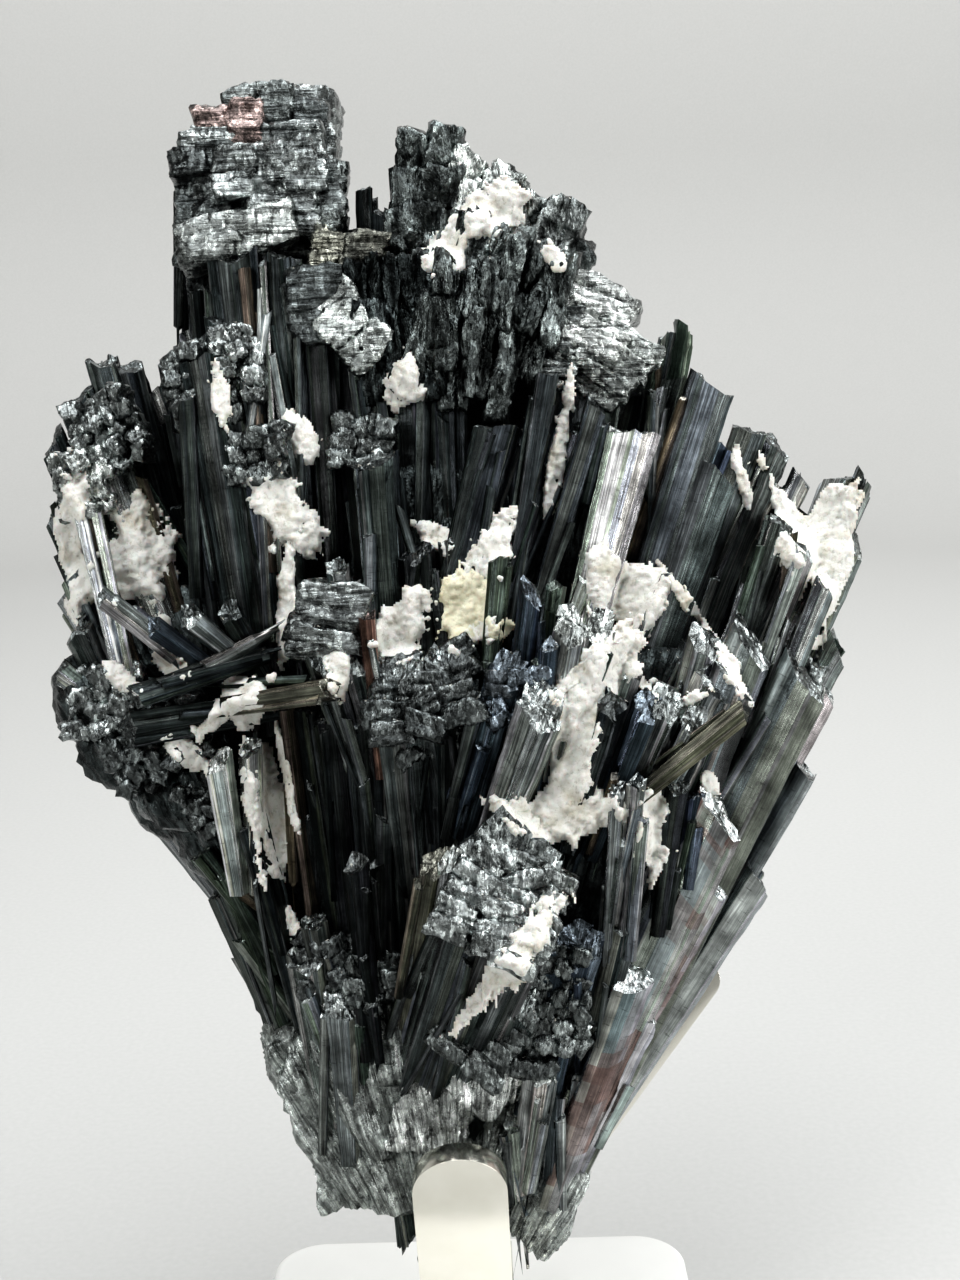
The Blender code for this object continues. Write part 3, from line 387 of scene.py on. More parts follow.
class Growth:
    """Gathers the crystals of one piece as arrays and turns them into one mesh."""

    def __init__(self):
        self.verts = []
        self.count = 0
        self.faces = {4: [], 3: []}
        self.uvs = {4: [], 3: []}
        self.tints = {4: [], 3: []}
        self.kinds = {4: [], 3: []}

    def put(self, faces, uvs, tints, kind):
        """Adds faces of three or four corners, with each corner's UV and each face's tint."""
        corners = faces.shape[-1]
        self.faces[corners].append(faces)
        self.uvs[corners].append(uvs.reshape(-1, 2))
        self.tints[corners].append(np.repeat(tints, corners, axis=0))
        self.kinds[corners].append(np.full(len(faces), kind))

    def grid(self, rows, uv, tint, kind):
        """Adds rings of points with their tints; the UVs, in mm, have one more column to close the seam."""
        rings, samples, _ = rows.shape
        number = np.arange(rings * samples).reshape(rings, samples) + self.count
        after = np.roll(number, -1, axis=1)
        quads = np.stack([number[:-1], after[:-1], after[1:], number[1:]], axis=-1)
        self.verts.append(rows.reshape(-1, 3))
        self.count += rings * samples
        corner_uv = np.stack([uv[:-1, :-1], uv[:-1, 1:], uv[1:, 1:], uv[1:, :-1]], axis=2)
        self.put(quads.reshape(-1, 4), corner_uv, tint[:-1].reshape(-1, 4), kind)
        return number

    def fan(self, ring, middle, tint, kind, down=False):
        """Closes a ring of points with triangles to a middle point."""
        centre = np.full(len(ring), self.count)
        self.verts.append(np.asarray(middle).reshape(1, 3))
        self.count += 1
        after = np.roll(ring, -1)
        faces = np.stack([after, ring, centre] if down else [ring, after, centre], axis=-1)
        self.put(faces, np.zeros((len(ring), 3, 2)), tint, kind)

    def rod(self, corners, heights, cap_height, start, stop, frame_axes, taper, look, rng):
        """One rod: ribbed sides from its root to its end, and the rough break that ends it."""
        across, back, axis = frame_axes
        wide = max(abs(c[0]) for c in corners) * 2.0
        depth = look["depth"] * min(1.0, wide / 5.0)
        spots, outs, offsets, level, rib = rib_outline(corners, heights, look["rib"], depth, rng)
        length = (stop - start).length
        fractions = []
        reach, gap = 0.0, look["ring"]
        while reach < length - 3.0:
            fractions.append(reach)
            reach += gap
            gap = min(gap * 1.18, 7.0)
        fractions.append(length)
        below = np.array(fractions[::-1])
        below = np.repeat(below[:, None], len(spots), axis=1)
        # Ribs that break off short of the end.
        rib_count = rib.max() + 1
        extra = np.zeros_like(below)
        for r in range(rib_count):
            if rng.random() > look["broken"]:
                continue
            end = look["ring"] + 24.0 * rng.random() ** 1.8
            mine = np.where(rib == r)[0]
            rings = np.where(below[:, mine[0]] <= end)[0]
            if len(rings) < 2:
                continue
            below[rings[0], mine] = end
            if rings[0] + 2 < len(below):
                below[rings[0] + 1, mine] = min(end, max(end - 0.25, below[rings[0] + 2, mine[0]] + 0.05))
                extra[rings[0] + 1:, mine] = -rng.uniform(0.5, 1.6) * depth
        # Growth steps, wear and fracture ledges, by the place around the rod and below its end.
        spread = np.linalg.norm(np.diff(np.vstack([spots, spots[:1]]), axis=0), axis=1)
        around = np.concatenate([[0.0], np.cumsum(spread)[:-1]])
        girth = spread.sum()
        seed = rng.randrange(1000)
        at = np.stack([np.broadcast_to(around, below.shape).ravel(), below.ravel(),
                       np.zeros(below.size)], axis=-1)
        steps = noise(at * (0.5, 0.09, 1.0), 1.0, seed) * 0.25 * depth
        steps += (noise(at, 1.3, seed + 2) + noise(at, 3.0, seed + 3)) * look["wear"] * min(1.0, wide / 3.0)
        if look["ledge"]:
            shelf = 0.5 * noise(at * (1.0 / 2.2, 1.0, 1.0), 2.1, seed + 5, blocky=True)
            shelf += 0.35 * noise(at * (1.0 / 2.6, 1.0, 1.0), 0.95, seed + 9, blocky=True)
            shelf += 0.15 * noise(at * (1.0 / 2.0, 1.0, 1.0), 0.6, seed + 11, blocky=True)
            fade = np.clip(1.3 - below.ravel() / 20.0, 0.0, 1.0) ** 0.5
            steps += np.minimum(0.25, shelf - 0.1) * look["ledge"] * fade
        steps = steps.reshape(below.shape)
        push = offsets[None, :] + extra + steps
        fade_in = 1.0 - below / length
        size = taper + (1.0 - taper) * fade_in
        u = spots[None, :, 0] * size + outs[None, :, 0] * push
        v = spots[None, :, 1] * size + outs[None, :, 1] * push
        rough = noise(np.stack([u[-1], v[-1], np.full(len(spots), seed)], -1), 0.9, 3) * look["rough"]
        uneven = np.array([rng.uniform(-0.25, 0.25) for _ in range(rib_count)])
        top = level + rough * 0.8 + uneven[rib] * look["rough"]
        along = (length + top)[None, :] * fade_in
        # The sides' points, from a flat root to the end, with their tints.
        start_v, across_v, back_v, axis_v = (np.array(x) for x in (start, across, back, axis))
        rows = (start_v + across_v * u[..., None] + back_v * v[..., None] + axis_v * along[..., None])
        tint = np.array(hexa(TINTS[look["tint"]])[:3])
        shade = np.array([[rng.gauss(0.0, 1.0) for _ in range(3)] for _ in range(rib_count)])
        per_rib = tint * np.exp(look["vary"] * shade[:, :1]) * np.exp(0.05 * shade * (1.0, 0.6, 1.2))
        gloss = np.array([rng.random() for _ in range(rib_count)])
        tints = np.column_stack([np.clip(per_rib[rib], 0.002, 0.9), gloss[rib]])
        tints = np.broadcast_to(tints[None], rows.shape[:2] + (4,)).copy()
        if look["film"]:
            spots3 = rows.reshape(-1, 3)
            patch = 1.6 * noise(spots3, 6.0, 3) + 0.8 * noise(spots3, 1.8, 4) + 0.5 * noise(spots3, 0.7, 5)
            patch = np.clip(patch - 0.1, 0.0, 1.0).reshape(rows.shape[:2])[..., None]
            tints[..., :3] = tints[..., :3] * (1.0 - patch) + np.array(hexa(TINTS[look["film"]])[:3]) * patch
        seam = np.append(around, girth)
        uv = np.stack([np.broadcast_to(seam, (len(along), len(seam))), np.hstack([along, along[:, :1]])], -1)
        ring = self.grid(rows, uv, tints, 0)
        self.fan(ring[0], rows[0].mean(axis=0), tints[0], 0, down=True)
        # The break: rings from the sides' end in to the middle.
        middle_u, middle_v = u[-1].mean(), v[-1].mean()
        radius = max(np.hypot(u[-1] - middle_u, v[-1] - middle_v).max(), 0.3)
        turns = int(np.clip(round(radius / 0.5), 3, 12))
        share = np.linspace(0.0, 1.0, turns + 1)[:-1, None] ** 0.9
        cu = u[-1][None] * (1 - share) + middle_u * share
        cv = v[-1][None] * (1 - share) + middle_v * share
        height = (length + top)[None] * (1 - share) + (length + cap_height) * share
        flat = np.stack([cu.ravel(), cv.ravel(), np.full(cu.size, seed * 3.1)], -1)
        bumps = self.break_height(flat, look, rng).reshape(cu.shape)
        bumps[0] = 0.0
        height = height + bumps * np.minimum(1.0, share * turns)
        cap = (start_v + across_v * cu[..., None] + back_v * cv[..., None] + axis_v * height[..., None])
        cap_tint = np.append(np.clip(tint * rng.uniform(0.8, 1.25), 0.002, 0.9), 0.5)
        cap_tint = np.broadcast_to(cap_tint, cu.shape + (4,))
        cap_uv = np.stack([np.hstack([cu, cu[:, :1]]), np.hstack([cv, cv[:, :1]])], -1)
        cap[0] = rows[-1]
        ring = self.grid(cap, cap_uv, cap_tint, 1)
        middle = start_v + across_v * middle_u + back_v * middle_v
        self.fan(ring[-1], middle + axis_v * (length + cap_height), cap_tint[0], 1)

    def break_height(self, flat, look, rng):
        """How the rough break of a rod rises and falls over its section, in mm."""
        rough = look["rough"]
        seed = rng.randrange(1000)
        fine = noise(flat, 0.55, seed) * 0.30 + noise(flat, 1.2, seed + 1) * 0.35
        broad = noise(flat, 3.2, seed + 2)
        if look["end"] == "foil":
            angle = rng.uniform(-0.5, 0.5) + 0.4
            run = flat[:, 0] * math.cos(angle) + flat[:, 1] * math.sin(angle)
            run = run + 1.2 * noise(flat, 2.6, seed + 3)
            ridges = (run / 0.95) % 1.0
            return rough * (0.75 * ridges + 0.5 * fine + 0.5 * broad)
        if look["end"] == "step":
            return rough * (np.round(broad * 2.4) / 2.4 * 0.9 + 0.7 * fine)
        if look["end"] == "flat":
            return rough * (0.25 * fine + 0.15 * broad)
        return rough * (fine + 0.35 * np.round(broad * 3.0) / 3.0)

    def crystal(self, spec):
        """A crystal from its row: its rods side by side, with thin laths along them.

        A row is (name, root and end as (x, z, depth), (width, thickness), how many rods, how its end rises
        (to the right, to the back), tint, kind)."""
        name, root, end, (width, thick), count, (rise_right, rise_back), tint, kind = spec
        rng = random.Random(name)
        fine = random.Random(name + " ribs")
        scale = 1.0 + end[2] / STATION_DISTANCE
        start, stop = seen(*root), seen(*end)
        axis = (stop - start).normalized()
        across = Vector((0.0, 1.0, 0.0)).cross(axis).normalized()
        back = axis.cross(across)
        width, thick = width * scale, thick * scale
        step = min(1.6, 0.10 * width + 0.2)
        look = {**PLAIN, **KINDS[kind], "tint": tint}
        for i in range(count):
            middle = width * ((i + 0.5) / count - 0.5)
            wide = width / count * (1.16 if count > 1 else 1.0)
            deep = thick * rng.uniform(0.82, 1.0)
            shift = thick * rng.uniform(-0.08, 0.08)
            lift = rng.uniform(-step, step) if count > 1 else 0.0
            sides = 6 if wide > 4.5 else 5
            ring = section(wide, deep, sides, rng)
            jag = 0.3 + 0.07 * wide
            corners = [(middle + u, shift + v) for u, v in ring]
            heights = [rise_right * u + rise_back * v + lift + rng.uniform(-jag, jag) for u, v in corners]
            cap = sum(heights) / sides + rng.uniform(-jag, jag)
            self.rod(corners, heights, cap, start, stop, (across, back, axis), 0.72, look, fine)
            self.laths(corners, heights, start, stop, (across, back, axis), look, fine)

    def crystals(self, rows):
        """Crystals grown one after another."""
        for row in rows:
            self.crystal(row)

    def laths(self, corners, heights, start, stop, frame_axes, look, rng):
        """Thin laths and splinters grown along a rod and a little out of line with it."""
        across, back, axis = frame_axes
        length = (stop - start).length
        for _ in range(look["laths"]):
            k = rng.randrange(len(corners))
            a, b = corners[k], corners[(k + 1) % len(corners)]
            mark = rng.uniform(0.1, 0.9)
            u, v = a[0] + (b[0] - a[0]) * mark, a[1] + (b[1] - a[1]) * mark
            level = heights[k] + (heights[(k + 1) % len(corners)] - heights[k]) * mark
            short = 0.4 + 24.0 * rng.random() ** 1.5
            if length + level - short < 8.0:
                continue
            lean = Vector((rng.gauss(0.0, 0.09), rng.gauss(-0.03, 0.06)))
            run = min(length + level - short - 1.0, rng.uniform(8.0, 30.0))
            end = stop + across * u + back * v + axis * (level - short)
            along = (axis + across * lean.x + back * lean.y).normalized()
            root = end - along * run
            side = Vector((0.0, 1.0, 0.0)).cross(along).normalized()
            wide, deep = rng.uniform(0.7, 2.4), rng.uniform(0.6, 1.5)
            ring = section(wide, deep, rng.choice((4, 5, 5, 6)), rng)
            slope = (rng.uniform(-0.8, 0.8), rng.uniform(-0.2, 1.0))
            tops = [slope[0] * x + slope[1] * y + rng.uniform(-0.3, 0.3) for x, y in ring]
            sub = dict(look, rib=0.55, depth=0.10, ring=1.6, broken=0.2, ledge=0.0, rough=0.3, end="grain",
                       wear=0.05)
            if rng.random() < 0.25:
                dim = look["tint"] in ("black", "dark")
                others = ("dark", "black", "steel") if dim else ("steel", "green", "bronze", "grey")
                sub["tint"] = rng.choice(others)
            self.rod(ring, tops, 0.0, root, end, (side, along.cross(side), along), 0.85, sub, rng)

    def piece(self, name, finishes, node=None):
        """The finished piece: one mesh in the world's frame, riding on the part's body."""
        verts = np.concatenate(self.verts)
        matrix = np.array(STANDING)
        placed = verts @ matrix[:3, :3].T + matrix[:3, 3]
        used = [n for n in (4, 3) if self.faces[n]]
        faces = {n: np.concatenate(self.faces[n]) for n in used}
        surfaces.append((verts, faces))
        loops = np.concatenate([faces[n].ravel() for n in used])
        starts, at = [], 0
        for n in used:
            starts.append(at + n * np.arange(len(faces[n])))
            at += faces[n].size
        mesh = bpy.data.meshes.new(name)
        mesh.vertices.add(len(placed))
        mesh.vertices.foreach_set("co", placed.astype(np.float32).ravel())
        mesh.loops.add(len(loops))
        mesh.loops.foreach_set("vertex_index", loops.astype(np.int32))
        starts = np.concatenate(starts)
        mesh.polygons.add(len(starts))
        mesh.polygons.foreach_set("loop_start", starts.astype(np.int32))
        kinds = np.concatenate([np.concatenate(self.kinds[n]) for n in used])
        mesh.polygons.foreach_set("material_index", kinds.astype(np.int32))
        layer = mesh.uv_layers.new(name="mm")
        uvs = np.concatenate([np.concatenate(self.uvs[n]) for n in used])
        layer.data.foreach_set("uv", uvs.astype(np.float32).ravel())
        colours = np.concatenate([np.concatenate(self.tints[n]) for n in used])
        tint = mesh.color_attributes.new("tint", "FLOAT_COLOR", "CORNER")
        tint.data.foreach_set("color", colours.astype(np.float32).ravel())
        mesh.update(calc_edges=True)
        mesh.validate()
        for finish in finishes:
            mesh.materials.append(finish)
        obj = bpy.data.objects.new(name, mesh)
        bpy.context.scene.collection.objects.link(obj)
        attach(obj, "root")
        if node:
            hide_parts(node)


def toned(tree, tone, layers):
    """A tone made darker and lighter by patterns, each (pattern, amount, stops of what it multiplies by)."""
    for pattern, amount, stops in layers:
        shade = add(tree, "ValToRGB", [("Fac", pattern)], stops).outputs["Color"]
        tone = add(tree, "Mix", [(0, amount), (6, tone), (7, shade)], data_type="RGBA",
                   blend_type="MULTIPLY").outputs[2]
    return tone


def dusted(tree, shader, tone, place, amount):
    """Adds calcite dust, white and crumbly, where it settles on faces that look up; elsewhere it is metal."""
    normal = add(tree, "NewGeometry").outputs["Normal"]
    up = add(tree, "SeparateXYZ", [(0, normal)]).outputs["Z"]
    specks = add(tree, "TexNoise", [("Vector", place)], Scale=1.1, Detail=5.0, Roughness=0.75).outputs["Fac"]
    settled = add(tree, "Math", [(0, up), (1, 0.16), (2, specks)], operation="MULTIPLY_ADD").outputs[0]
    dust = add(tree, "ValToRGB", [("Fac", settled)], [(amount, 0.0), (amount + 0.03, 1.0)]).outputs["Color"]
    bare = add(tree, "MapRange", [("Value", dust)], To_Min=1.0, To_Max=0.0).outputs[0]
    tree.links.new(bare, shader.inputs["Metallic"])
    return add(tree, "Mix", [(0, dust), (6, tone), (7, "#cfccc2")], data_type="RGBA").outputs[2]


# The sides of the crystals: tarnished stibnite, a lead-grey metal. Its fine lengthwise striations, drawn
# about 0.3 mm apart, coarser than they are, are set into its colour as bright and dark lines, painted glints
# and painted shade that part the sheen; patches of tarnish and cracks across the length break it up.
def lined(name, painted_shade_line, painted_glint_line, relief):
    """The long sides of crystals: how dark and bright their fine lines are, as painted shade and painted
    glints, and how deep, from 0 to 1.
    """
    mat, tree, shader = new_material(name)
    uv = add(tree, "UVMap", uv_map="mm").outputs["UV"]
    tint = add(tree, "VertexColor", layer_name="tint")
    place = millimetres(tree)
    lengthwise = add(tree, "VectorMath", [(0, uv), (1, (3.6, 0.08, 1.0))], operation="MULTIPLY").outputs[0]
    crosswise = add(tree, "VectorMath", [(0, uv), (1, (0.5, 2.6, 1.0))], operation="MULTIPLY").outputs[0]
    lines = add(tree, "TexNoise", [("Vector", lengthwise)], Scale=1.0, Detail=5.0,
                Roughness=0.75).outputs["Fac"]
    cracks = add(tree, "TexNoise", [("Vector", crosswise)], Scale=1.0, Detail=3.0,
                 Roughness=0.6).outputs["Fac"]
    tarnish = add(tree, "TexNoise", [("Vector", place)], Scale=0.22, Detail=3.0, Roughness=0.6).outputs["Fac"]
    # Painted light and shade: the lines ramp darkens the tint along some striations as painted shade and
    # brightens it along others as painted glints.
    tone = toned(tree, tint.outputs["Color"], [
        (lines, 1.0, [(0.34, painted_shade_line), (0.50, 0.85), (0.66, painted_glint_line)]),
        (tarnish, 1.0, [(0.30, 0.40), (0.50, 0.9), (0.72, 1.75)]),
        (cracks, 0.7, [(0.33, 0.35), (0.39, 1.0)]),
    ])
    tone = dusted(tree, shader, tone, place, 0.78)
    sheen = add(tree, "MapRange", [("Value", tint.outputs["Alpha"])], To_Min=0.14, To_Max=0.44).outputs[0]
    finish(tree, shader, tone, sheen, [(lines, relief, 0.20), (cracks, 0.4, 0.12)])
    return mat


striated = lined("striated_stibnite", 0.25, 2.6, 1.0)
filmed = lined("smooth_filmed_stibnite", 0.6, 1.5, 0.45)


# The broken ends: the same metal, fresher and so lighter, hackly from many small facets, with glints painted
# into their colour.
def facets(tree, place, size):
    """Grains of a size in mm as flat facets, each tilted its own way: (height, each grain's own colour)."""
    grains = add(tree, "TexVoronoi", [("Vector", place)], Scale=1.0 / size)
    scaled = add(tree, "VectorMath", [(0, place)], operation="SCALE", Scale=1.0 / size).outputs[0]
    local = add(tree, "VectorMath", [(0, scaled), (1, grains.outputs["Position"])], operation="SUBTRACT")
    tilt = add(tree, "VectorMath", [(0, grains.outputs["Color"]), (1, (0.5, 0.5, 0.5))], operation="SUBTRACT")
    height = add(tree, "VectorMath", [(0, local.outputs[0]), (1, tilt.outputs[0])], operation="DOT_PRODUCT")
    return height.outputs["Value"], grains.outputs["Color"]


def fractured(name, coarse_size, fine_size, hackle_and_glints, fresh, folded_and_streaked, layered):
    """Broken stibnite: facets of two sizes in mm, and from 0 to 1 how hackly, fresh, folded and layered. How
    hackly also sets the painted glints, how folded sets the painted streaks, and how layered sets the painted
    shade in its cracks.
    """
    mat, tree, shader = new_material(name)
    tint = add(tree, "VertexColor", layer_name="tint").outputs["Color"]
    uv = add(tree, "UVMap", uv_map="mm").outputs["UV"]
    place = millimetres(tree)
    upright = add(tree, "VectorMath", [(0, place), (1, (1.0, 1.0, 0.5))], operation="MULTIPLY").outputs[0]
    level = add(tree, "VectorMath", [(0, place), (1, (0.16, 0.16, 1.3))], operation="MULTIPLY").outputs[0]
    along = add(tree, "VectorMath", [(0, uv), (1, (0.8, 0.12, 1.0))], operation="MULTIPLY").outputs[0]
    coarse, _ = facets(tree, upright, coarse_size)
    fine, painted_glints = facets(tree, upright, fine_size)
    chips_and_pit_shade = add(tree, "TexNoise", [("Vector", place)], Scale=0.8, Detail=4.0, Roughness=0.7).outputs["Fac"]
    weather = add(tree, "TexNoise", [("Vector", place)], Scale=0.25, Detail=4.0, Roughness=0.6).outputs["Fac"]
    layers = add(tree, "TexNoise", [("Vector", level)], Scale=1.0, Detail=4.0, Roughness=0.6,
                 Distortion=0.3).outputs["Fac"]
    folds_and_painted_streaks = add(tree, "TexNoise", [("Vector", along)], Scale=1.0, Detail=4.0, Roughness=0.62,
                Distortion=0.8).outputs["Fac"]
    tone = add(tree, "Mix", [(0, fresh), (6, tint), (7, "#c9cecd")], data_type="RGBA").outputs[2]
    # Painted light and shade: the glint ramp makes single facets far brighter or darker as painted glints;
    # the chip noise darkens pits as painted shade; the layer ramp draws near-black lines as painted shade in
    # the cracks between layers; the fold ramp adds light and dark streaks as painted sheen and shade. The
    # weathering is the metal's own.
    tone = toned(tree, tone, [
        (painted_glints, hackle_and_glints, [(0.25, 0.2), (0.6, 0.75), (0.9, 3.4)]),
        (chips_and_pit_shade, 1.0, [(0.34, 0.25), (0.43, 0.95), (0.64, 1.25)]),
        (weather, 1.0, [(0.36, 0.55), (0.64, 1.45)]),
        (layers, layered, [(0.38, 0.08), (0.44, 0.75), (0.64, 1.4)]),
        (folds_and_painted_streaks, folded_and_streaked, [(0.38, 0.12), (0.46, 0.65), (0.64, 1.9)]),
    ])
    tone = dusted(tree, shader, tone, place, 0.76)
    dull = add(tree, "MapRange", [("Value", chips_and_pit_shade)], To_Min=0.16, To_Max=0.38).outputs[0]
    finish(tree, shader, tone, dull, [
        (coarse, hackle_and_glints, coarse_size), (fine, hackle_and_glints, 0.8 * fine_size), (layers, layered, 0.9),
        (folds_and_painted_streaks, folded_and_streaked, 1.6), (chips_and_pit_shade, 0.6, 0.30),
    ])
    return mat


broken = fractured("broken_stibnite", 1.4, 0.45, 0.55, 0.12, 0.5, 0.0)
massive = fractured("massive_stibnite", 2.4, 0.6, 0.5, 0.0, 1.0, 0.0)
satin = fractured("satin_massive_stibnite", 3.0, 0.8, 0.28, 0.0, 0.75, 0.0)
layered = fractured("layered_stibnite", 2.2, 0.55, 0.5, 0.1, 0.25, 0.75)


# Massive and grainy stibnite: rough lumps, round or squared, with their skin pushed in and out.
def ball(level):
    """The corners and triangles of a unit sphere, evenly divided."""
    bm = bmesh.new()
    bmesh.ops.create_icosphere(bm, subdivisions=level, radius=1.0)
    corners = np.array([v.co[:] for v in bm.verts])
    triangles = np.array([[v.index for v in f.verts] for f in bm.faces])
    bm.free()
    return corners, triangles


balls = {level: ball(level) for level in (2, 3, 4, 5)}
GRAIN_FORMS = {     # how each form of relief stretches across, back and up the lump
    "smooth": (1.0, 1.0, 1.0), "block": (1.0, 1.0, 1.0), "layer": (0.35, 0.35, 1.0),
    "ripple": (0.20, 0.20, 1.0), "streak": (1.0, 1.0, 0.14),
}


def fan_angle(points):
    """How far round the fan some points lie, in radians; its crystals spread from 14 mm under the foot."""
    return np.arctan2(points[:, 0], points[:, 2] + 14.0)


def cut_block(directions, cuts, rng):
    """A squared block about as wide as the unit sphere, its corners and edges knocked off by flat cuts."""
    reach = np.full(len(directions), 9.0)
    for k in range(6 + cuts):       # six sides, nearly square to each other, then the cuts
        if k < 6:
            normal = np.array([rng.uniform(-0.14, 0.14) for _ in range(3)])
            normal[k // 2] = 1.0 if k % 2 else -1.0
            depth = rng.uniform(0.93, 1.0)
        else:
            normal = np.array([rng.gauss(0.0, 1.0) for _ in range(3)])
            depth = np.abs(normal / np.linalg.norm(normal)).sum() * rng.uniform(0.68, 0.90)
        normal /= np.linalg.norm(normal)
        facing = directions @ normal
        reach = np.minimum(reach, np.where(facing > 0.05, depth / np.maximum(facing, 0.05), 9.0))
    return directions * reach[:, None]


def knob(growth, centre, half, tilt, level, relief, seed, tint, kind=0, cuts=0, film=None):
    """A rough lump at a point, (across, up, deep) from its middle and turned by a tilt.

    Without cuts it is round, with cuts it is a block. Each relief is (reach in mm, height in mm, form). The
    kind is which of the piece's materials it has. A film is a second colour that lies on it in patches."""
    directions, triangles = balls[level]
    shape = cut_block(directions, cuts, random.Random(seed)) if cuts else directions
    radii = np.array((half[0], half[2], half[1]))
    turn = np.array(Matrix.Rotation(math.radians(-tilt), 3, "Y"))
    own = shape * radii
    points = own @ turn.T + np.array(centre)
    push = np.zeros(len(points))
    for reach, height, form in relief:
        if form == "fibre":
            spots = np.column_stack([fan_angle(points) * 30.0, points[:, 1], points[:, 2] * 0.16])
        else:
            spots = (own + 100.0) * GRAIN_FORMS[form]
        wave = noise(spots, reach, seed + int(reach * 10), blocky=form in ("block", "layer"))
        if form in ("ripple", "fibre"):
            wave = 1.0 - 2.0 * np.abs(wave)
        push += wave * height
    out = directions / radii @ turn.T
    out /= np.linalg.norm(out, axis=1)[:, None]
    points = points + out * push[:, None]
    growth.verts.append(points)
    middles = points[triangles].mean(axis=1)
    uvs = np.stack([fan_angle(points) * 70.0, np.hypot(points[:, 0], points[:, 2])], -1)[triangles]
    shade = np.array(tint)[None] * np.exp(0.2 * noise(middles, 1.4, seed))[:, None]
    if film:
        patch = np.clip(2.2 * noise(middles, 7.0, 9) + 0.7 * noise(middles, 1.3, 10) + 0.2, 0.0, 1.0)[:, None]
        shade = shade * (1.0 - patch) + np.array(hexa(TINTS[film])[:3]) * patch
    shade = np.column_stack([np.clip(shade, 0.0, 0.95), np.full(len(shade), 0.6)])
    growth.put(triangles + growth.count, uvs, shade, kind)
    growth.count += len(points)


def blocks(growth, rows, relief, parts, level=4, loose=0.10, turned=3.0):
    """Blocks from rows of (name, (x, z, depth), (across, up, deep), tilt, tint, film), each broken into parts
    (across, up), which lie a little out of line. A seventh value leans it back, in mm for each mm up."""
    for name, middle, half, tilt, tint, film, *lean in rows:
        rng = random.Random(name)
        size = 1.0 + middle[2] / STATION_DISTANCE
        turn = Matrix.Rotation(math.radians(-tilt), 3, "Y")
        columns = max(1, round(half[0] * 2.0 / parts[0]))
        layers = max(1, round(half[1] * 2.0 / parts[1]))
        for a in range(columns):
            start = rng.uniform(-0.3, 0.3)
            for b in range(layers):
                x = half[0] * ((a + 0.5) / columns * 2.0 - 1.0 + rng.gauss(0.0, 0.06))
                z = half[1] * ((b + 0.5 + start) / layers * 2.0 - 1.0)
                x, z = max(-half[0], min(half[0], x)), max(-half[1], min(half[1], z))
                y = rng.gauss(0.0, loose) * half[2] + (lean[0] * z if lean else 0.0)
                own = [1.3 * half[0] / columns * rng.uniform(0.85, 1.2), 1.3 * half[1] / layers, half[2]]
                own = [size * min(h, full) for h, full in zip(own, half)]
                spot = seen(*middle) + turn @ Vector((x, y, z)) * size
                knob(growth, spot, own, tilt + rng.gauss(0.0, turned), level, relief, rng.randrange(99),
                     np.array(hexa(TINTS[tint])[:3]) * rng.uniform(0.55, 1.3), 1, 6, film)


# ---- The tall tower at the left ------------------------------------------------------------------
# Thick crystals grown into one block, broken off in level steps with a sloping pale ledge in front.
# Its lower part shows fine upright lines. One growth with the rest of the spray.
growth = Growth()
LEVEL_STEPS = ((2.2, 0.34, "layer"), (0.9, 0.22, "layer"), (0.6, 0.08, "block"))
blocks(growth, (
    ("tower_slab", (-26.6, 147.0, 4), (6.8, 7.0, 5.0), 3, "grey", None),
    ("tower_body", (-28.4, 148.0, 9), (8.6, 8.8, 7.4), 4, "grey", None),
    ("tower_rust", (-31.6, 156.6, 8.2), (4.4, 3.2, 6.4), 4, "steel", "rust"),
    ("tower_crest", (-27.4, 158.0, 9.6), (4.2, 3.8, 6.5), 5, "steel", None),
    ("tower_peak", (-22.2, 155.8, 10.8), (3.6, 4.2, 6.5), -6, "dark", None),
    ("tower_shoulder", (-20.4, 152.4, 13), (3.4, 8.8, 6.5), 1, "grey", None),
    # Dark as painted shade: the tower's left face lies in shadow.
    ("tower_left_edge", (-36.0, 143.4, 9), (3.2, 9.4, 8.0), 3, "dark", None),
    ("tower_corner", (-33.6, 148.0, 5), (3.6, 5.6, 5.0), 6, "steel", None),
    ("tower_right_step", (-18.6, 145.6, 7), (2.8, 5.4, 6.0), -4, "steel", None),
    ("tower_ledge_right", (-16.2, 137.8, 2), (4.2, 4.0, 4.6), -20, "olive", None),
), LEVEL_STEPS, (5.4, 4.0), 4, 0.2)
blocks(growth, (
    ("tower_ledge", (-31.0, 141.4, 0.8), (6.8, 3.2, 4.8), 14, "pale", None),
    ("tower_slope", (-15.4, 129.4, -2), (4.0, 6.4, 3.6), 38, "pale", None),
    ("tower_low", (-20.0, 131.0, -2), (4.0, 4.6, 4.0), 10, "dark", None),
), LEVEL_STEPS, (7.6, 4.6))
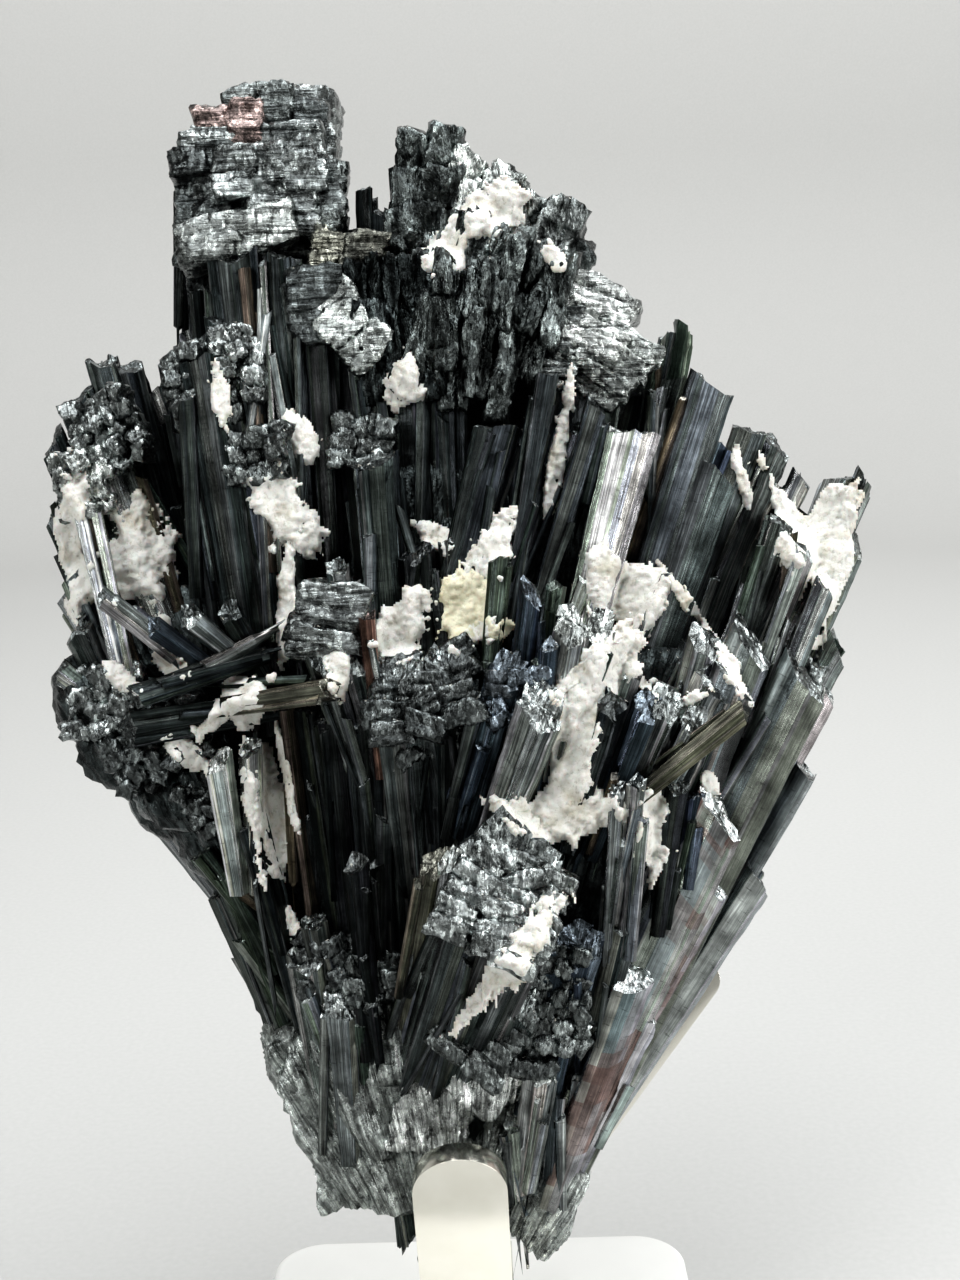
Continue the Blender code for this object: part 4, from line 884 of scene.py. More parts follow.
growth.crystals((
    # Black as painted shade of the tower's shadowed left face.
    ("tower_left", (-31, 85, 6), (-35.8, 150.4, 9), (8.4, 12), 1, (0.4, 0.1), "black", "prism"),
    ("tower_spike", (-12, 110, 6), (-13.4, 148.6, 8), (2.8, 4), 1, (0.3, 0.2), "dark", "grain"),
    ("tower_spike_low", (-10, 110, 6), (-11.4, 145.4, 8), (2.6, 5), 1, (-0.3, 0.2), "dark", "grain"),
    ("tower_face", (-22, 95, -3), (-25.6, 140.0, -1), (6.4, 6), 1, (-0.3, 0.6), "dark", "prism"),
    ("tower_lines", (-27, 95, -4), (-32.0, 139.4, -2), (7.6, 6), 1, (0.1, 0.5), "dark", "prism"),
    ("tower_brown", (-26.4, 95, -5.6), (-30.4, 138.0, -4.0), (1.8, 2.4), 1, (0.1, 0.5), "bronze", "smooth"),
    ("tower_bright", (-25.4, 95, -5.4), (-27.8, 138.4, -3.8), (1.2, 2.4), 1, (0.1, 0.5), "grey", "prism"),
    ("tower_middle", (-18, 95, -3), (-20.6, 134.0, -1), (5.4, 6), 1, (0.1, 0.5), "black", "prism"),
    # The foot's dark and black tints are painted shade of the deep place at the tower's foot.
    ("tower_foot_a", (-27, 85, -5), (-32.8, 130.6, -3), (7.4, 6), 1, (-0.3, 0.7), "dark", "grain"),
    ("tower_foot_b", (-30, 85, -6), (-36.6, 126.6, -5), (8.0, 6), 1, (0.1, 0.8), "dark", "grain"),
    ("tower_foot_c", (-33, 85, -2), (-39.8, 125.4, 0), (6.4, 7), 1, (0.25, 0.7), "black", "grain"),
))
growth.piece("spray_tower", (striated, layered), "stibnite_spray")


# ---- The second tower ----------------------------------------------------------------------------
# A rough, weathered block right of the first tower, its upper side sloping down to the right, on a
# dark body of fine fibres. One growth with the rest of the spray.
growth = Growth()
WEATHERED = ((2.6, 0.5, "smooth"), (1.2, 0.3, "layer"), (0.7, 0.14, "block"))
blocks(growth, (
    ("second_cap", (-5.0, 147.0, 8), (4.2, 8.4, 7.0), -8, "steel", None),
    ("second_slope", (2.8, 144.0, 9), (6.4, 6.4, 7.0), -32, "pale", None),
    ("second_slope_end", (10.0, 140.4, 9), (4.6, 5.8, 6.5), -30, "grey", None),
    ("second_lump", (15.4, 136.8, 9), (2.6, 2.8, 4.0), -10, "steel", None),
), WEATHERED, (5.0, 5.0))
blocks(growth, (
    ("second_body", (0.0, 127.6, -1), (7.0, 9.4, 5.0), -6, "steel", None),
    ("second_body_left", (-9.0, 127.4, 0), (5.6, 9.4, 5.0), 6, "dark", None),
    ("second_body_right", (8.0, 130.4, 1), (5.6, 8.8, 5.0), -14, "steel", None),
    ("second_front", (2.4, 136.0, 3), (7.0, 7.2, 5.0), -14, "steel", None),
), ((1.0, 0.5, "streak"), (0.6, 0.3, "streak"), (0.7, 0.14, "block")), (2.4, 7.0), 4, 0.16)
growth.crystals((
    ("second_cap_left", (-4, 90, 5), (-8.2, 151.6, 6), (4.4, 9), 1, (0.0, 0.15), "black", "prism"),
    ("second_slope_b", (4, 90, 7), (6.2, 144.0, 11), (7.2, 9), 1, (-0.3, 0.3), "blue", "grain"),
    ("second_slope_c", (8, 90, 7), (11.7, 143.0, 11), (5.2, 8), 1, (-0.6, 0.3), "blue", "grain"),
    ("second_mass_a", (-6, 85, 0), (-9.0, 134.6, 1), (9.6, 9), 1, (0.3, 1.0), "dark", "prism"),
    ("second_mass_b", (-1, 85, -1), (-2.2, 131.0, 0), (8.4, 8), 1, (-0.2, 1.1), "dark", "prism"),
    ("second_mass_c", (-10, 85, -1), (-14.4, 126.6, 0), (8.0, 7), 1, (0.2, 1.0), "dark", "prism"),
))
growth.piece("spray_second_tower", (striated, massive), "stibnite_spray")


# ---- The laminated ends --------------------------------------------------------------------------
# Crystals right of the second tower and in the middle, light grey. Their ends are broken across and
# show the crystal's thin, wavy layers.
growth = Growth()
WAVY = ((2.2, 0.4, "smooth"), (1.1, 0.45, "ripple"), (0.6, 0.15, "ripple"))
blocks(growth, (
    ("laminated_upper", (17.8, 129.4, 5), (5.8, 6.0, 6.0), -24, "pearl", None),
    ("laminated_end", (-18.6, 88.6, -10.0), (5.2, 5.2, 4.6), -10, "grey", None),
    ("laminated_lower", (20.6, 123.4, 4), (5.2, 5.4, 6.0), -32, "pale", None),
    ("laminated_left", (13.4, 126.0, 3), (3.4, 5.8, 5.0), -16, "grey", None),
), WAVY, (12.0, 1.9), 4, 0.14)
growth.crystals((
    ("laminated_root", (14, 88, 5), (20.2, 128.2, 8), (8.0, 10), 1, (-0.3, 0.9), "steel", "foil"),
    ("laminated_low", (13, 86, 2), (18.6, 122.4, 3), (10.4, 7), 1, (-0.4, 1.0), "steel", "foil"),
))
growth.piece("spray_laminated", (striated, layered), "stibnite_spray")


# ---- The right wing ------------------------------------------------------------------------------
# Small upright crystals, broad flat blades with a grey sheen, and rounded weathered ends at the edge.
# They spring from the same root as the rest.
growth = Growth()
growth.crystals((
    ("small_tower_a", (20, 88, 8), (27.3, 124.4, 10), (2.8, 5), 1, (0.6, 0.0), "green", "step"),
    ("small_tower_b", (22, 88, 8), (29.4, 128.4, 11), (2.8, 5), 1, (0.3, 0.0), "steel", "prism"),
    ("small_tower_c", (24, 88, 8), (31.7, 129.6, 10), (3.2, 5), 1, (-0.4, 0.0), "green", "step"),
    ("small_tower_d", (21, 82, 4), (27.4, 120.6, 6), (3.6, 5), 1, (0.2, 0.3), "steel", "prism"),
    ("blade_big", (23, 82, 1), (35.4, 121.6, 6), (7.2, 5), 1, (-0.35, 0.3), "steel", "sheet"),
    ("blade_second", (28, 80, 4), (40.6, 114.6, 8), (5.2, 5), 1, (-0.1, 0.2), "steel", "sheet"),
    ("blade_low", (26, 78, -3), (36.4, 108.6, -1), (6.2, 4), 1, (-0.5, 0.3), "steel", "sheet"),
    ("wing_end_a", (31, 78, 5), (44.6, 112.4, 8), (4.4, 6), 1, (-0.5, 0.5), "steel", "step"),
    ("wing_end_b", (34, 78, 5), (48.0, 108.6, 8), (4.0, 5), 1, (-0.3, 0.4), "grey", "grain"),
    ("wing_round", (40, 76, 5), (53.6, 108.2, 9), (5.4, 7), 1, (0.55, 0.2), "grey", "grain"),
    ("wing_round_outer", (43, 76, 5), (56.6, 107.4, 9), (4.2, 7), 1, (-0.9, 0.2), "grey", "grain"),
    ("wing_edge", (43, 70, 4), (55.4, 98.6, 6), (4.0, 5), 1, (-1.0, 0.2), "pale", "grain"),
    ("wing_dark_a", (36, 74, -3), (45.0, 102.0, 0), (4.2, 4), 1, (-0.3, 0.6), "steel", "prism"),
    ("wing_dark_b", (39, 72, -4), (48.4, 98.0, -2), (3.6, 4), 1, (-0.4, 0.6), "grey", "prism"),
    ("wing_dark_c", (42, 70, -5), (51.2, 93.0, -3), (3.4, 4), 1, (-0.5, 0.6), "grey", "prism"),
    ("wing_low_edge", (34, 48, 3), (53.0, 84.4, 4), (4.4, 6), 1, (-0.9, 0.3), "grey", "sheet"),
))
growth.piece("spray_right_wing", (striated, broken), "stibnite_spray")


# ---- The right flank -----------------------------------------------------------------------------
# The smooth long side faces of the lower right edge: silvery grey, with films of rust where they face the
# front low down. Their light sheen tint is painted sheen, the glancing reflection of these faces set into
# their colour. They are crystals like the others, hardly ribbed.
growth = Growth()
growth.crystals((
    ("flank_foot_edge", (8, 3, 5), (27.4, 32.0, 3), (5.0, 7), 1, (-0.8, 0.2), "grey", "sheet"),
    ("flank_low", (12, 8, 4), (32.4, 42.0, 2), (5.4, 9), 1, (-0.6, 0.2), "sheen", "sheet"),
    ("flank_mid", (17, 14, 3), (41.6, 53.0, 1), (6.0, 9), 1, (-0.7, 0.2), "sheen", "sheet"),
    ("flank_high", (20, 20, 3), (47.4, 69.0, 1), (6.4, 9), 2, (-0.4, 0.3), "sheen", "sheet"),
    ("flank_end", (24, 30, 2), (51.4, 79.4, 2), (5.0, 8), 1, (-0.9, 0.3), "sheen", "sheet"),
    ("flank_front_a", (16, 14, -3), (46.2, 77.0, -4), (6.4, 5), 1, (-0.5, 0.5), "grey", "sheet"),
    ("flank_front_b", (13, 14, -5), (41.0, 85.0, -6), (7.4, 6), 1, (-0.9, 0.5), "grey", "sheet"),
    ("flank_face_top", (14, 9, -4), (48.4, 80.0, -5.4), (8.4, 4), 1, (-0.5, 0.4), "grey", "sheet"),
    ("flank_face_inner", (13, 10, -6), (38.4, 80.0, -8.6), (8.0, 4), 1, (-0.6, 0.5), "grey", "sheet"),
    ("flank_red", (12, 9, -7), (36.4, 62.0, -9.4), (9.4, 4.4), 1, (-0.7, 0.5), "sheen", "rusty"),
    ("flank_red_low", (12, 8, -5), (35.4, 52.0, -6.4), (6.6, 5), 1, (-0.6, 0.4), "sheen", "rusty"),
    ("flank_pink", (12.4, 6, -8), (24.0, 38.4, -11), (6.6, 5), 1, (0.1, 0.6), "sheen", "rusty"),
    ("flank_grey", (12.0, 4, -5), (26.2, 34.0, -7), (5.0, 5), 1, (-0.6, 0.5), "sheen", "sheet"),
))
growth.piece("spray_flank", (filmed, broken), "stibnite_spray")


# ---- The right centre ----------------------------------------------------------------------------
# A bright silvery prism, dark blades beside it, and a crowd of broken ends that point forward around
# the calcite vein.
growth = Growth()
growth.crystals((
    ("bright_prism", (16, 82, -4), (24.2, 114.4, -2), (7.8, 6), 1, (0.1, 0.3), "pale", "sheet"),
    ("blade_dark_a", (9, 84, -5), (19.2, 118.4, -2), (3.6, 4), 1, (-0.4, 0.5), "dark", "prism"),
    ("blade_dark_b", (5, 86, -4), (15.2, 120.4, 0), (3.8, 5), 1, (-0.2, 0.4), "dark", "prism"),
    ("narrow_prism", (6, 84, -8), (11.9, 123.0, -4), (3.3, 4), 1, (0.3, 0.4), "dark", "prism"),
    ("end_mottled", (13, 66, -12), (17.8, 88.0, -15), (8.4, 7), 2, (-0.1, 0.8), "pale", "grain"),
    ("end_blue", (11, 68, -14), (12.7, 84.6, -17), (3.0, 3), 1, (0.0, 0.4), "blue", "prism"),
    ("star_a", (0, 58, -12), (6.4, 81.0, -17), (5.6, 6), 1, (0.2, 1.0), "blue", "grain"),
    ("star_b", (4, 56, -13), (11.6, 76.8, -18), (7.6, 7), 1, (-0.3, 0.9), "grey", "grain"),
    ("star_left", (-2, 58, -12), (2.4, 77.2, -16), (3.4, 4), 1, (0.4, 0.4), "steel", "grain"),
    ("star_pointed", (7, 68, -13), (9.8, 92.0, -15), (4.2, 4), 1, (-0.9, 0.6), "blue", "grain"),
    ("end_grain", (19, 66, -12), (24.0, 81.4, -13), (4.4, 4), 1, (0.0, 0.8), "grey", "grain"),
    ("dark_group_a", (15, 56, -13), (21.4, 76.6, -16), (5.0, 6), 1, (0.0, 0.6), "dark", "grain"),
    ("dark_group_b", (18, 55, -12), (26.0, 76.0, -15), (4.4, 6), 1, (-0.1, 0.7), "blue", "grain"),
    ("end_broad", (21, 58, -10), (28.4, 76.6, -13), (7.0, 6), 1, (-0.1, 0.9), "grey", "grain"),
    ("end_broad_grain", (25, 58, -10), (32.6, 73.6, -12), (5.4, 6), 1, (-0.2, 0.9), "grey", "grain"),
    ("olive_across", (24, 62.6, -14), (39.8, 75.4, -12), (3.4, 3), 1, (-0.3, 0.3), "olive", "smooth"),
    ("behind_olive", (27, 62, -9), (35.6, 79.6, -9), (6.0, 5), 1, (-0.2, 0.6), "grey", "prism"),
    ("right_end_dark", (29, 66, -6), (34.6, 85.2, -8), (5.6, 5), 1, (-0.3, 0.8), "grey", "prism"),
    ("bright_upright", (21.4, 40, -12), (23.4, 64.4, -16), (4.8, 4), 2, (0.1, 0.4), "grey", "prism"),
    ("dark_upright", (27.6, 44, -10), (30.5, 65.2, -12), (3.9, 4), 1, (0.0, 0.5), "dark", "prism"),
    ("blue_upright", (31, 50, -9), (33.0, 64.0, -10), (3.0, 4), 1, (0.3, 0.5), "blue", "prism"),
))
growth.piece("spray_right_centre", (striated, broken), "stibnite_spray")


# ---- The centre ----------------------------------------------------------------------------------
# The thick striated prism, the flat-topped one, the laminated end, the grainy mass and the big
# front block with its sloping grainy break.
growth = Growth()
growth.crystals((
    ("thick_prism", (-9, 66, -8), (-12.4, 111.0, -4), (8.0, 8), 1, (0.0, 0.6), "dark", "prism"),
    ("thick_prism_top", (-9, 88, -3), (-13.0, 117.0, 0), (9.4, 7), 1, (0.2, 0.9), "steel", "grain"),
    ("flat_topped", (-3, 84, -7), (5.2, 115.6, -4), (7.0, 7), 1, (0.15, 0.35), "dark", "prism"),
    ("laminated_column", (-11, 62, -8), (-17.6, 85.0, -12), (8.6, 8), 2, (-0.3, 1.0), "steel", "prism"),
    ("stub", (-15, 78, -9), (-17.3, 96.0, -9), (3.8, 4), 1, (0.0, 0.5), "steel", "prism"),
    ("reddish_side", (-11, 66, -12), (-13.2, 88.6, -13), (2.8, 3), 1, (0.2, 0.3), "rose", "smooth"),
    ("centre_dark_a", (-4, 66, -8), (-6.0, 98.0, -7), (5.4, 5), 1, (0.2, 0.5), "black", "prism"),
    ("centre_dark_b", (0, 66, -8), (0.0, 99.4, -6), (5.4, 5), 1, (-0.2, 0.5), "black", "prism"),
    ("green_prism", (3, 70, -12), (5.6, 97.0, -10), (3.0, 3), 1, (0.3, 0.4), "green", "smooth"),
    ("green_black_prism", (11, 72, -11), (13.6, 93.0, -11), (3.0, 3), 1, (-0.2, 0.4), "green", "prism"),
    ("grain_mass_a", (-6, 50, -8), (-8.4, 79.6, -14), (8.4, 8), 1, (0.2, 1.1), "steel", "grain"),
    ("grain_mass_b", (-2, 52, -9), (-2.0, 82.0, -14), (6.8, 7), 1, (-0.2, 1.0), "dark", "grain"),
    ("front_block", (-6, 18, -2), (5.8, 50.4, -21), (18.5, 13), 1, (-0.35, 1.35), "steel", "foil"),
    ("front_block_side", (-8, 26, -5), (-2.8, 54.0, -21.5), (5.4, 5), 1, (0.5, 0.7), "olive", "prism"),
    ("front_block_pale", (-6.4, 27, -6), (-1.6, 54.4, -22.4), (3.0, 4), 1, (0.5, 0.7), "pale", "prism"),
    ("under_block", (-1, 16, -6), (8.0, 36.0, -15), (9.0, 7), 1, (-0.3, 0.8), "steel", "foil"),
    ("glitter_block", (10, 18, -8), (16.6, 43.0, -14), (7.6, 6), 1, (0.1, 1.0), "blue", "grain"),
    ("glitter_block_right", (16, 18, -7), (22.8, 46.0, -13), (5.2, 5), 1, (0.1, 0.9), "steel", "grain"),
    ("foot_block", (9, 8, -9), (11.4, 24.6, -13), (5.4, 5), 1, (0.1, 0.7), "pale", "grain"),
    ("foot_column_a", (8.6, 3, -7), (7.2, 18.0, -11), (2.6, 4), 1, (0.2, 0.4), "pale", "prism"),
    ("foot_column_b", (12.2, 5, -8), (13.6, 22.6, -11), (2.8, 4), 1, (-0.2, 0.4), "grey", "prism"),
    ("foot_column_c", (13.6, 7, -6), (17.0, 24.6, -10), (2.8, 4), 1, (-0.2, 0.4), "grey", "prism"),
))
HACKLY = ((1.6, 0.3, "smooth"), (0.8, 0.3, "ripple"), (0.5, 0.1, "block"))
blocks(growth, (
    ("front_break", (6.4, 48.8, -22.6), (7.4, 7.0, 2.4), -30, "grey", None, 0.72),
    ("grain_mass_face", (-5.4, 78.2, -13.8), (7.0, 5.4, 2.4), 10, "dark", None, 0.9),
    ("block_foot", (3.0, 31.0, -13.0), (5.4, 5.0, 2.6), -34, "steel", None, 0.4),
), HACKLY, (4.6, 2.5), 4, 0.16, 14.0)
growth.piece("spray_centre", (striated, broken), "stibnite_spray")


# ---- The dark columns ----------------------------------------------------------------------------
# Long slim columns rising from the foot left of the middle, tinted nearly black, partly as painted shade,
# with rough low ends in front of them and a few bright stubs at their left.
growth = Growth()
growth.crystals((
    ("column_a", (-14, 24, -4), (-21.6, 76.0, -8), (3.6, 5), 1, (0.2, 0.3), "dark", "prism"),
    ("column_b", (-13, 24, -5), (-18.2, 75.0, -10), (3.8, 5), 1, (0.0, 0.3), "black", "prism"),
    ("column_c", (-11, 24, -6), (-14.6, 74.0, -11), (3.8, 5), 1, (-0.2, 0.3), "dark", "prism"),
    ("column_d", (-9, 24, -6), (-11.0, 72.0, -10), (3.6, 5), 1, (0.2, 0.3), "black", "prism"),
    ("column_e", (-6.5, 24, -5), (-7.2, 68.0, -8), (3.6, 5), 1, (0.0, 0.3), "dark", "prism"),
    ("column_front", (-12, 26, -8), (-14.6, 54.0, -13), (4.0, 4), 1, (0.3, 0.5), "black", "prism"),
    ("column_front_left", (-16, 24, -5), (-20.6, 46.0, -9), (4.2, 4), 1, (0.3, 0.5), "steel", "prism"),
    ("brown_column", (-18, 26, -3), (-24.2, 76.4, -8), (2.8, 4), 1, (0.1, 0.2), "bronze", "smooth"),
    ("left_column_a", (-19, 22, -2), (-29.4, 60.4, -7), (4.6, 5), 1, (0.2, 0.4), "dark", "prism"),
    ("left_column_b", (-20, 20, 0), (-33.2, 53.4, -3), (4.0, 5), 1, (-0.3, 0.3), "green", "prism"),
    ("left_column_edge", (-20, 18, 2), (-34.0, 49.6, 1), (3.6, 6), 1, (0.3, 0.2), "steel", "prism"),
    ("green_rods", (-26, 42, -3), (-36.4, 55.4, -3), (3.2, 4), 2, (0.3, 0.3), "green", "smooth"),
    ("bright_stub_a", (-31, 50, -5), (-34.0, 68.8, -10), (4.2, 4), 1, (0.5, 0.5), "pearl", "smooth"),
    ("bright_stub_b", (-29, 50, -5), (-29.6, 69.8, -10), (3.4, 4), 1, (0.6, 0.5), "pale", "smooth"),
    ("low_rough_a", (-17, 14, -5), (-21.4, 40.4, -9), (6.0, 6), 1, (0.1, 0.8), "grey", "grain"),
    ("low_rough_b", (-15, 12, -6), (-16.4, 34.6, -10), (5.8, 6), 1, (-0.2, 0.8), "grey", "grain"),
))
growth.piece("spray_dark_columns", (striated, broken), "stibnite_spray")


# ---- The left wing -------------------------------------------------------------------------------
# Crystals fanning out to the left with two lying across, slim rods with rainbow films, and rough
# outer ends.
growth = Growth()
growth.crystals((
    ("across_upper", (-27, 83.4, -8), (-46.0, 77.4, -11), (3.8, 4), 1, (0.3, 0.3), "dark", "prism"),
    ("across_lower", (-24, 76.6, -6), (-46.6, 73.0, -9), (5.6, 6), 1, (0.0, 0.4), "dark", "prism"),
    ("across_inner", (-33, 76.6, -9), (-18.2, 78.6, -15), (3.6, 4), 1, (0.0, 0.3), "olive", "prism"),
    # Dark as painted shade of the deep hollow it lies by.
    ("wing_top_a", (-34, 78, 5), (-46.6, 123.6, 8), (5.2, 6), 1, (-0.2, 0.3), "dark", "grain"),
    ("wing_top_b", (-36, 76, 4), (-50.2, 124.6, 7), (4.8, 7), 1, (0.0, 0.3), "steel", "grain"),
    ("wing_top_c", (-38, 75, 3), (-53.8, 119.2, 5), (5.8, 7), 1, (0.5, 0.4), "dark", "grain"),
    ("wing_top_d", (-41, 74, 2), (-57.2, 113.2, 3), (4.6, 6), 1, (0.8, 0.3), "dark", "grain"),
    ("wing_outer_a", (-42, 70, 1), (-57.0, 104.0, 2), (4.2, 6), 1, (0.9, 0.3), "steel", "grain"),
    ("wing_outer_b", (-43, 68, 0), (-54.4, 94.6, 0), (4.4, 6), 1, (0.5, 0.3), "grey", "grain"),
    ("wing_outer_c", (-44, 66, 0), (-53.6, 86.8, -3), (4.8, 5), 1, (0.4, 0.4), "steel", "grain"),
    ("wing_grain", (-38, 80, 0), (-50.6, 112.6, 1), (8.0, 6), 1, (0.4, 0.9), "grey", "grain"),
    ("rainbow_rod_a", (-47.4, 78, -5), (-54.2, 106.6, -3), (1.9, 2.4), 1, (0.2, 0.3), "pearl", "smooth"),
    ("rainbow_rod_b", (-46.2, 80, -5), (-51.2, 103.4, -3), (1.9, 2.4), 1, (0.2, 0.3), "pearl", "smooth"),
    ("wing_small_a", (-40, 83, -8), (-50.4, 91.6, -10), (3.2, 3), 1, (0.3, 0.3), "grey", "prism"),
    ("wing_small_b", (-33, 80, -7), (-43.2, 87.4, -11), (3.4, 4), 1, (0.3, 0.4), "blue", "prism"),
    ("wing_small_c", (-30, 82, -7), (-38.0, 88.6, -12), (4.2, 4), 1, (0.3, 0.4), "grey", "grain"),
    ("wing_small_d", (-27, 80, -6), (-32.4, 89.4, -9), (3.6, 4), 1, (0.2, 0.5), "dark", "prism"),
    ("pale_end", (-44, 72, -3), (-56.4, 81.4, -4), (4.0, 3), 1, (0.2, 0.3), "pale", "prism"),
))
growth.piece("spray_left_wing", (striated, broken), "stibnite_spray")


# ---- Left of the middle --------------------------------------------------------------------------
# Prisms between the tower's foot and the left wing's hollow, tinted nearly black as painted shade of the
# hollow, and two ends in front of them that fork like an arrow.
growth = Growth()
growth.crystals((
    ("mid_prism", (-26, 72, -6), (-28.6, 110.0, -3), (4.0, 4), 1, (0.1, 0.4), "black", "prism"),
    ("arrow_end_a", (-24, 84, -3), (-31.8, 114.0, -3), (5.6, 6), 1, (0.5, 0.9), "grey", "foil"),
    ("arrow_end_b", (-22, 84, -2), (-27.0, 115.6, -1), (5.4, 6), 1, (-0.5, 0.9), "grey", "foil"),
    ("green_stub", (-31, 92, -1), (-37.2, 120.0, -1), (3.6, 4), 1, (-0.2, 0.4), "grey", "grain"),
    ("mid_dark_a", (-19, 78, -1), (-22.6, 119.0, 2), (5.0, 5), 1, (0.2, 0.5), "black", "prism"),
    ("mid_dark_b", (-16, 78, 0), (-18.0, 121.6, 2), (4.8, 5), 1, (0.0, 0.5), "black", "prism"),
    ("mid_dark_c", (-21, 74, -5), (-24.0, 104.0, -4), (3.6, 4), 1, (-0.3, 0.5), "black", "prism"),
    ("hollow_prism_a", (-31, 78, 2), (-38.0, 110.0, 4), (4.4, 5), 1, (0.3, 0.4), "black", "prism"),
    ("hollow_prism_b", (-34, 78, 2), (-43.0, 104.0, 4), (4.4, 5), 1, (0.3, 0.4), "black", "prism"),
))
growth.piece("spray_mid_left", (striated, broken), "stibnite_spray")


# ---- The back ------------------------------------------------------------------------------------
# Long crystals fanning out from the foot, which make the back of the spray and its outer edge. The
# back is as it grew against the rock, plain and coarsely ribbed. A spike ends the foot.
growth = Growth()
BACK_FAN = (                        # where each ends, as (x, z, depth), and its width
    (-40.5, 66, 6, 9), (-47.5, 72, 6, 9), (-52.6, 80, 7, 9), (-52.4, 92, 8, 10), (-53.6, 102, 8, 9),
    (-53.0, 112, 9, 9), (-48.6, 119, 10, 9), (-41.0, 120, 10, 9), (-35.6, 128, 11, 9),
    (-34.4, 148, 12, 8), (-27.0, 155, 13, 8), (-20.4, 154, 13, 7), (-14.4, 142, 12, 8),
    (-6.6, 147, 12, 7), (0.6, 146, 12, 8), (7.4, 141, 11, 8), (13.6, 134, 11, 8),
    (19.6, 128, 10, 8), (25.0, 119, 10, 7), (30.8, 121, 10, 6), (36.4, 112, 9, 7),
    (42.4, 107, 9, 7), (48.0, 102, 9, 7), (52.2, 98, 8, 7), (50.6, 86, 7, 8), (46.0, 74, 6, 8),
    (41.6, 61, 5, 8), (34.6, 47, 5, 7),
    (-31, 72, 10, 7), (-38, 97, 11, 6), (-27, 113, 13, 7), (-18, 97, 13, 8), (-14, 62, 10, 7),
    (-4, 84, 13, 9), (3, 60, 10, 8), (10, 105, 13, 8), (18, 58, 9, 7), (24, 83, 11, 8), (35, 92, 10, 7),
)
for i, (x, z, y, width) in enumerate(BACK_FAN):
    tint = ("dark", "steel", "blue", "grey", "black", "steel", "green", "steel", "grey")[i % 9]
    growth.crystal((f"back_{i:02d}", (-2.0, 12.0, 3.0), (x, z, y), (width, 8.0), 1, (0.0, -0.2), tint,
                    "back"))
growth.crystal(("foot_spike", (-9.4, 14, -3), (-7.2, 0.6, -4), (3.2, 4), 1, (0.9, 0.0), "steel", "grain"))
growth.piece("spray_back_fan", (striated, broken), "stibnite_spray")


# ---- The root ------------------------------------------------------------------------------------
# The massive stibnite that the crystals spring from: rounded lumps of fine fibres running up and
# out from the foot, dull grey, with short laths standing out of them.
growth = Growth()
FIBROUS = ((4.0, 1.6, "fibre"), (1.5, 0.7, "fibre"), (0.8, 0.3, "fibre"), (1.0, 0.12, "block"))
LUMPS = (                           # (name, (x, z, depth), (across, up, deep), tilt, how finely divided)
    ("root_left", (-12.5, 24, 1), (12, 15, 9), 18, 5),
    ("root_mid", (-1, 20, 0), (11, 15, 10), 0, 5),
    ("root_right", (8.5, 16, 0), (8, 13, 9), -14, 5),
    ("root_high", (-4, 38, -1), (15, 13, 9), 0, 5),
    ("root_knob", (-23.6, 27, 0), (3.4, 5, 6), 12, 5),
    ("root_heel", (-14.4, 13.0, 0), (5.4, 5.8, 6), 20, 5),
    ("root_toe", (10.8, 8.6, -2), (5.0, 6.4, 7), -30, 5),
    ("root_keel", (0.4, 6.7, 0), (5.6, 10.6, 7), 0, 5),
    ("root_front", (-11, 25, -4), (10, 12, 6), 30, 5),
    ("root_fold_a", (-16, 34, -5), (4, 10, 4), 24, 5),
    ("root_fold_b", (-7, 31, -6), (4, 9, 4), 8, 5),
    ("root_fold_c", (-3, 22, -7), (5, 8, 4), -20, 5),
    ("root_fold_d", (6, 27, -9), (4, 8, 4), -30, 5),
    ("wing_under_a", (-45.0, 72.4, 1), (8.0, 6.0, 7), 32, 4),
    ("wing_under_b", (-38.6, 65.4, 1), (8.0, 6.4, 7), 35, 4),
    ("wing_under_c", (-50.4, 77.4, 1), (5.0, 6.0, 6), 10, 4),
    ("wing_under_d", (-33.0, 59, 1), (6.0, 6.8, 6), 40, 4),
    ("hollow_floor", (-36, 84, 3), (14, 9, 6), 10, 4),
    ("core", (-4, 62, 1), (24, 26, 11), 0, 4),
    ("core_right", (22, 62, 0), (15, 24, 10), -24, 4),
    ("core_top", (-2, 98, 4), (26, 20, 9), 0, 4),
)
for i, (name, middle, half, tilt, level) in enumerate(LUMPS):
    size = 0.97 * (1.0 + middle[2] / STATION_DISTANCE)
    size *= 0.86 if level == 5 else 1.0
    half = tuple(size * h for h in half)
    # The lumps under the left wing and in the core get the dark tint; on the hollow's floor this tint is
    # painted shade of the hollow.
    tint = "pearl" if "fold" in name else "pale" if name.startswith("root") else "dark"
    cuts = 12 if level == 5 else 0
    knob(growth, seen(*middle), half, tilt, level, FIBROUS, i, hexa(TINTS[tint])[:3], 1, cuts)
growth.piece("spray_root", (striated, satin), "stibnite_spray")


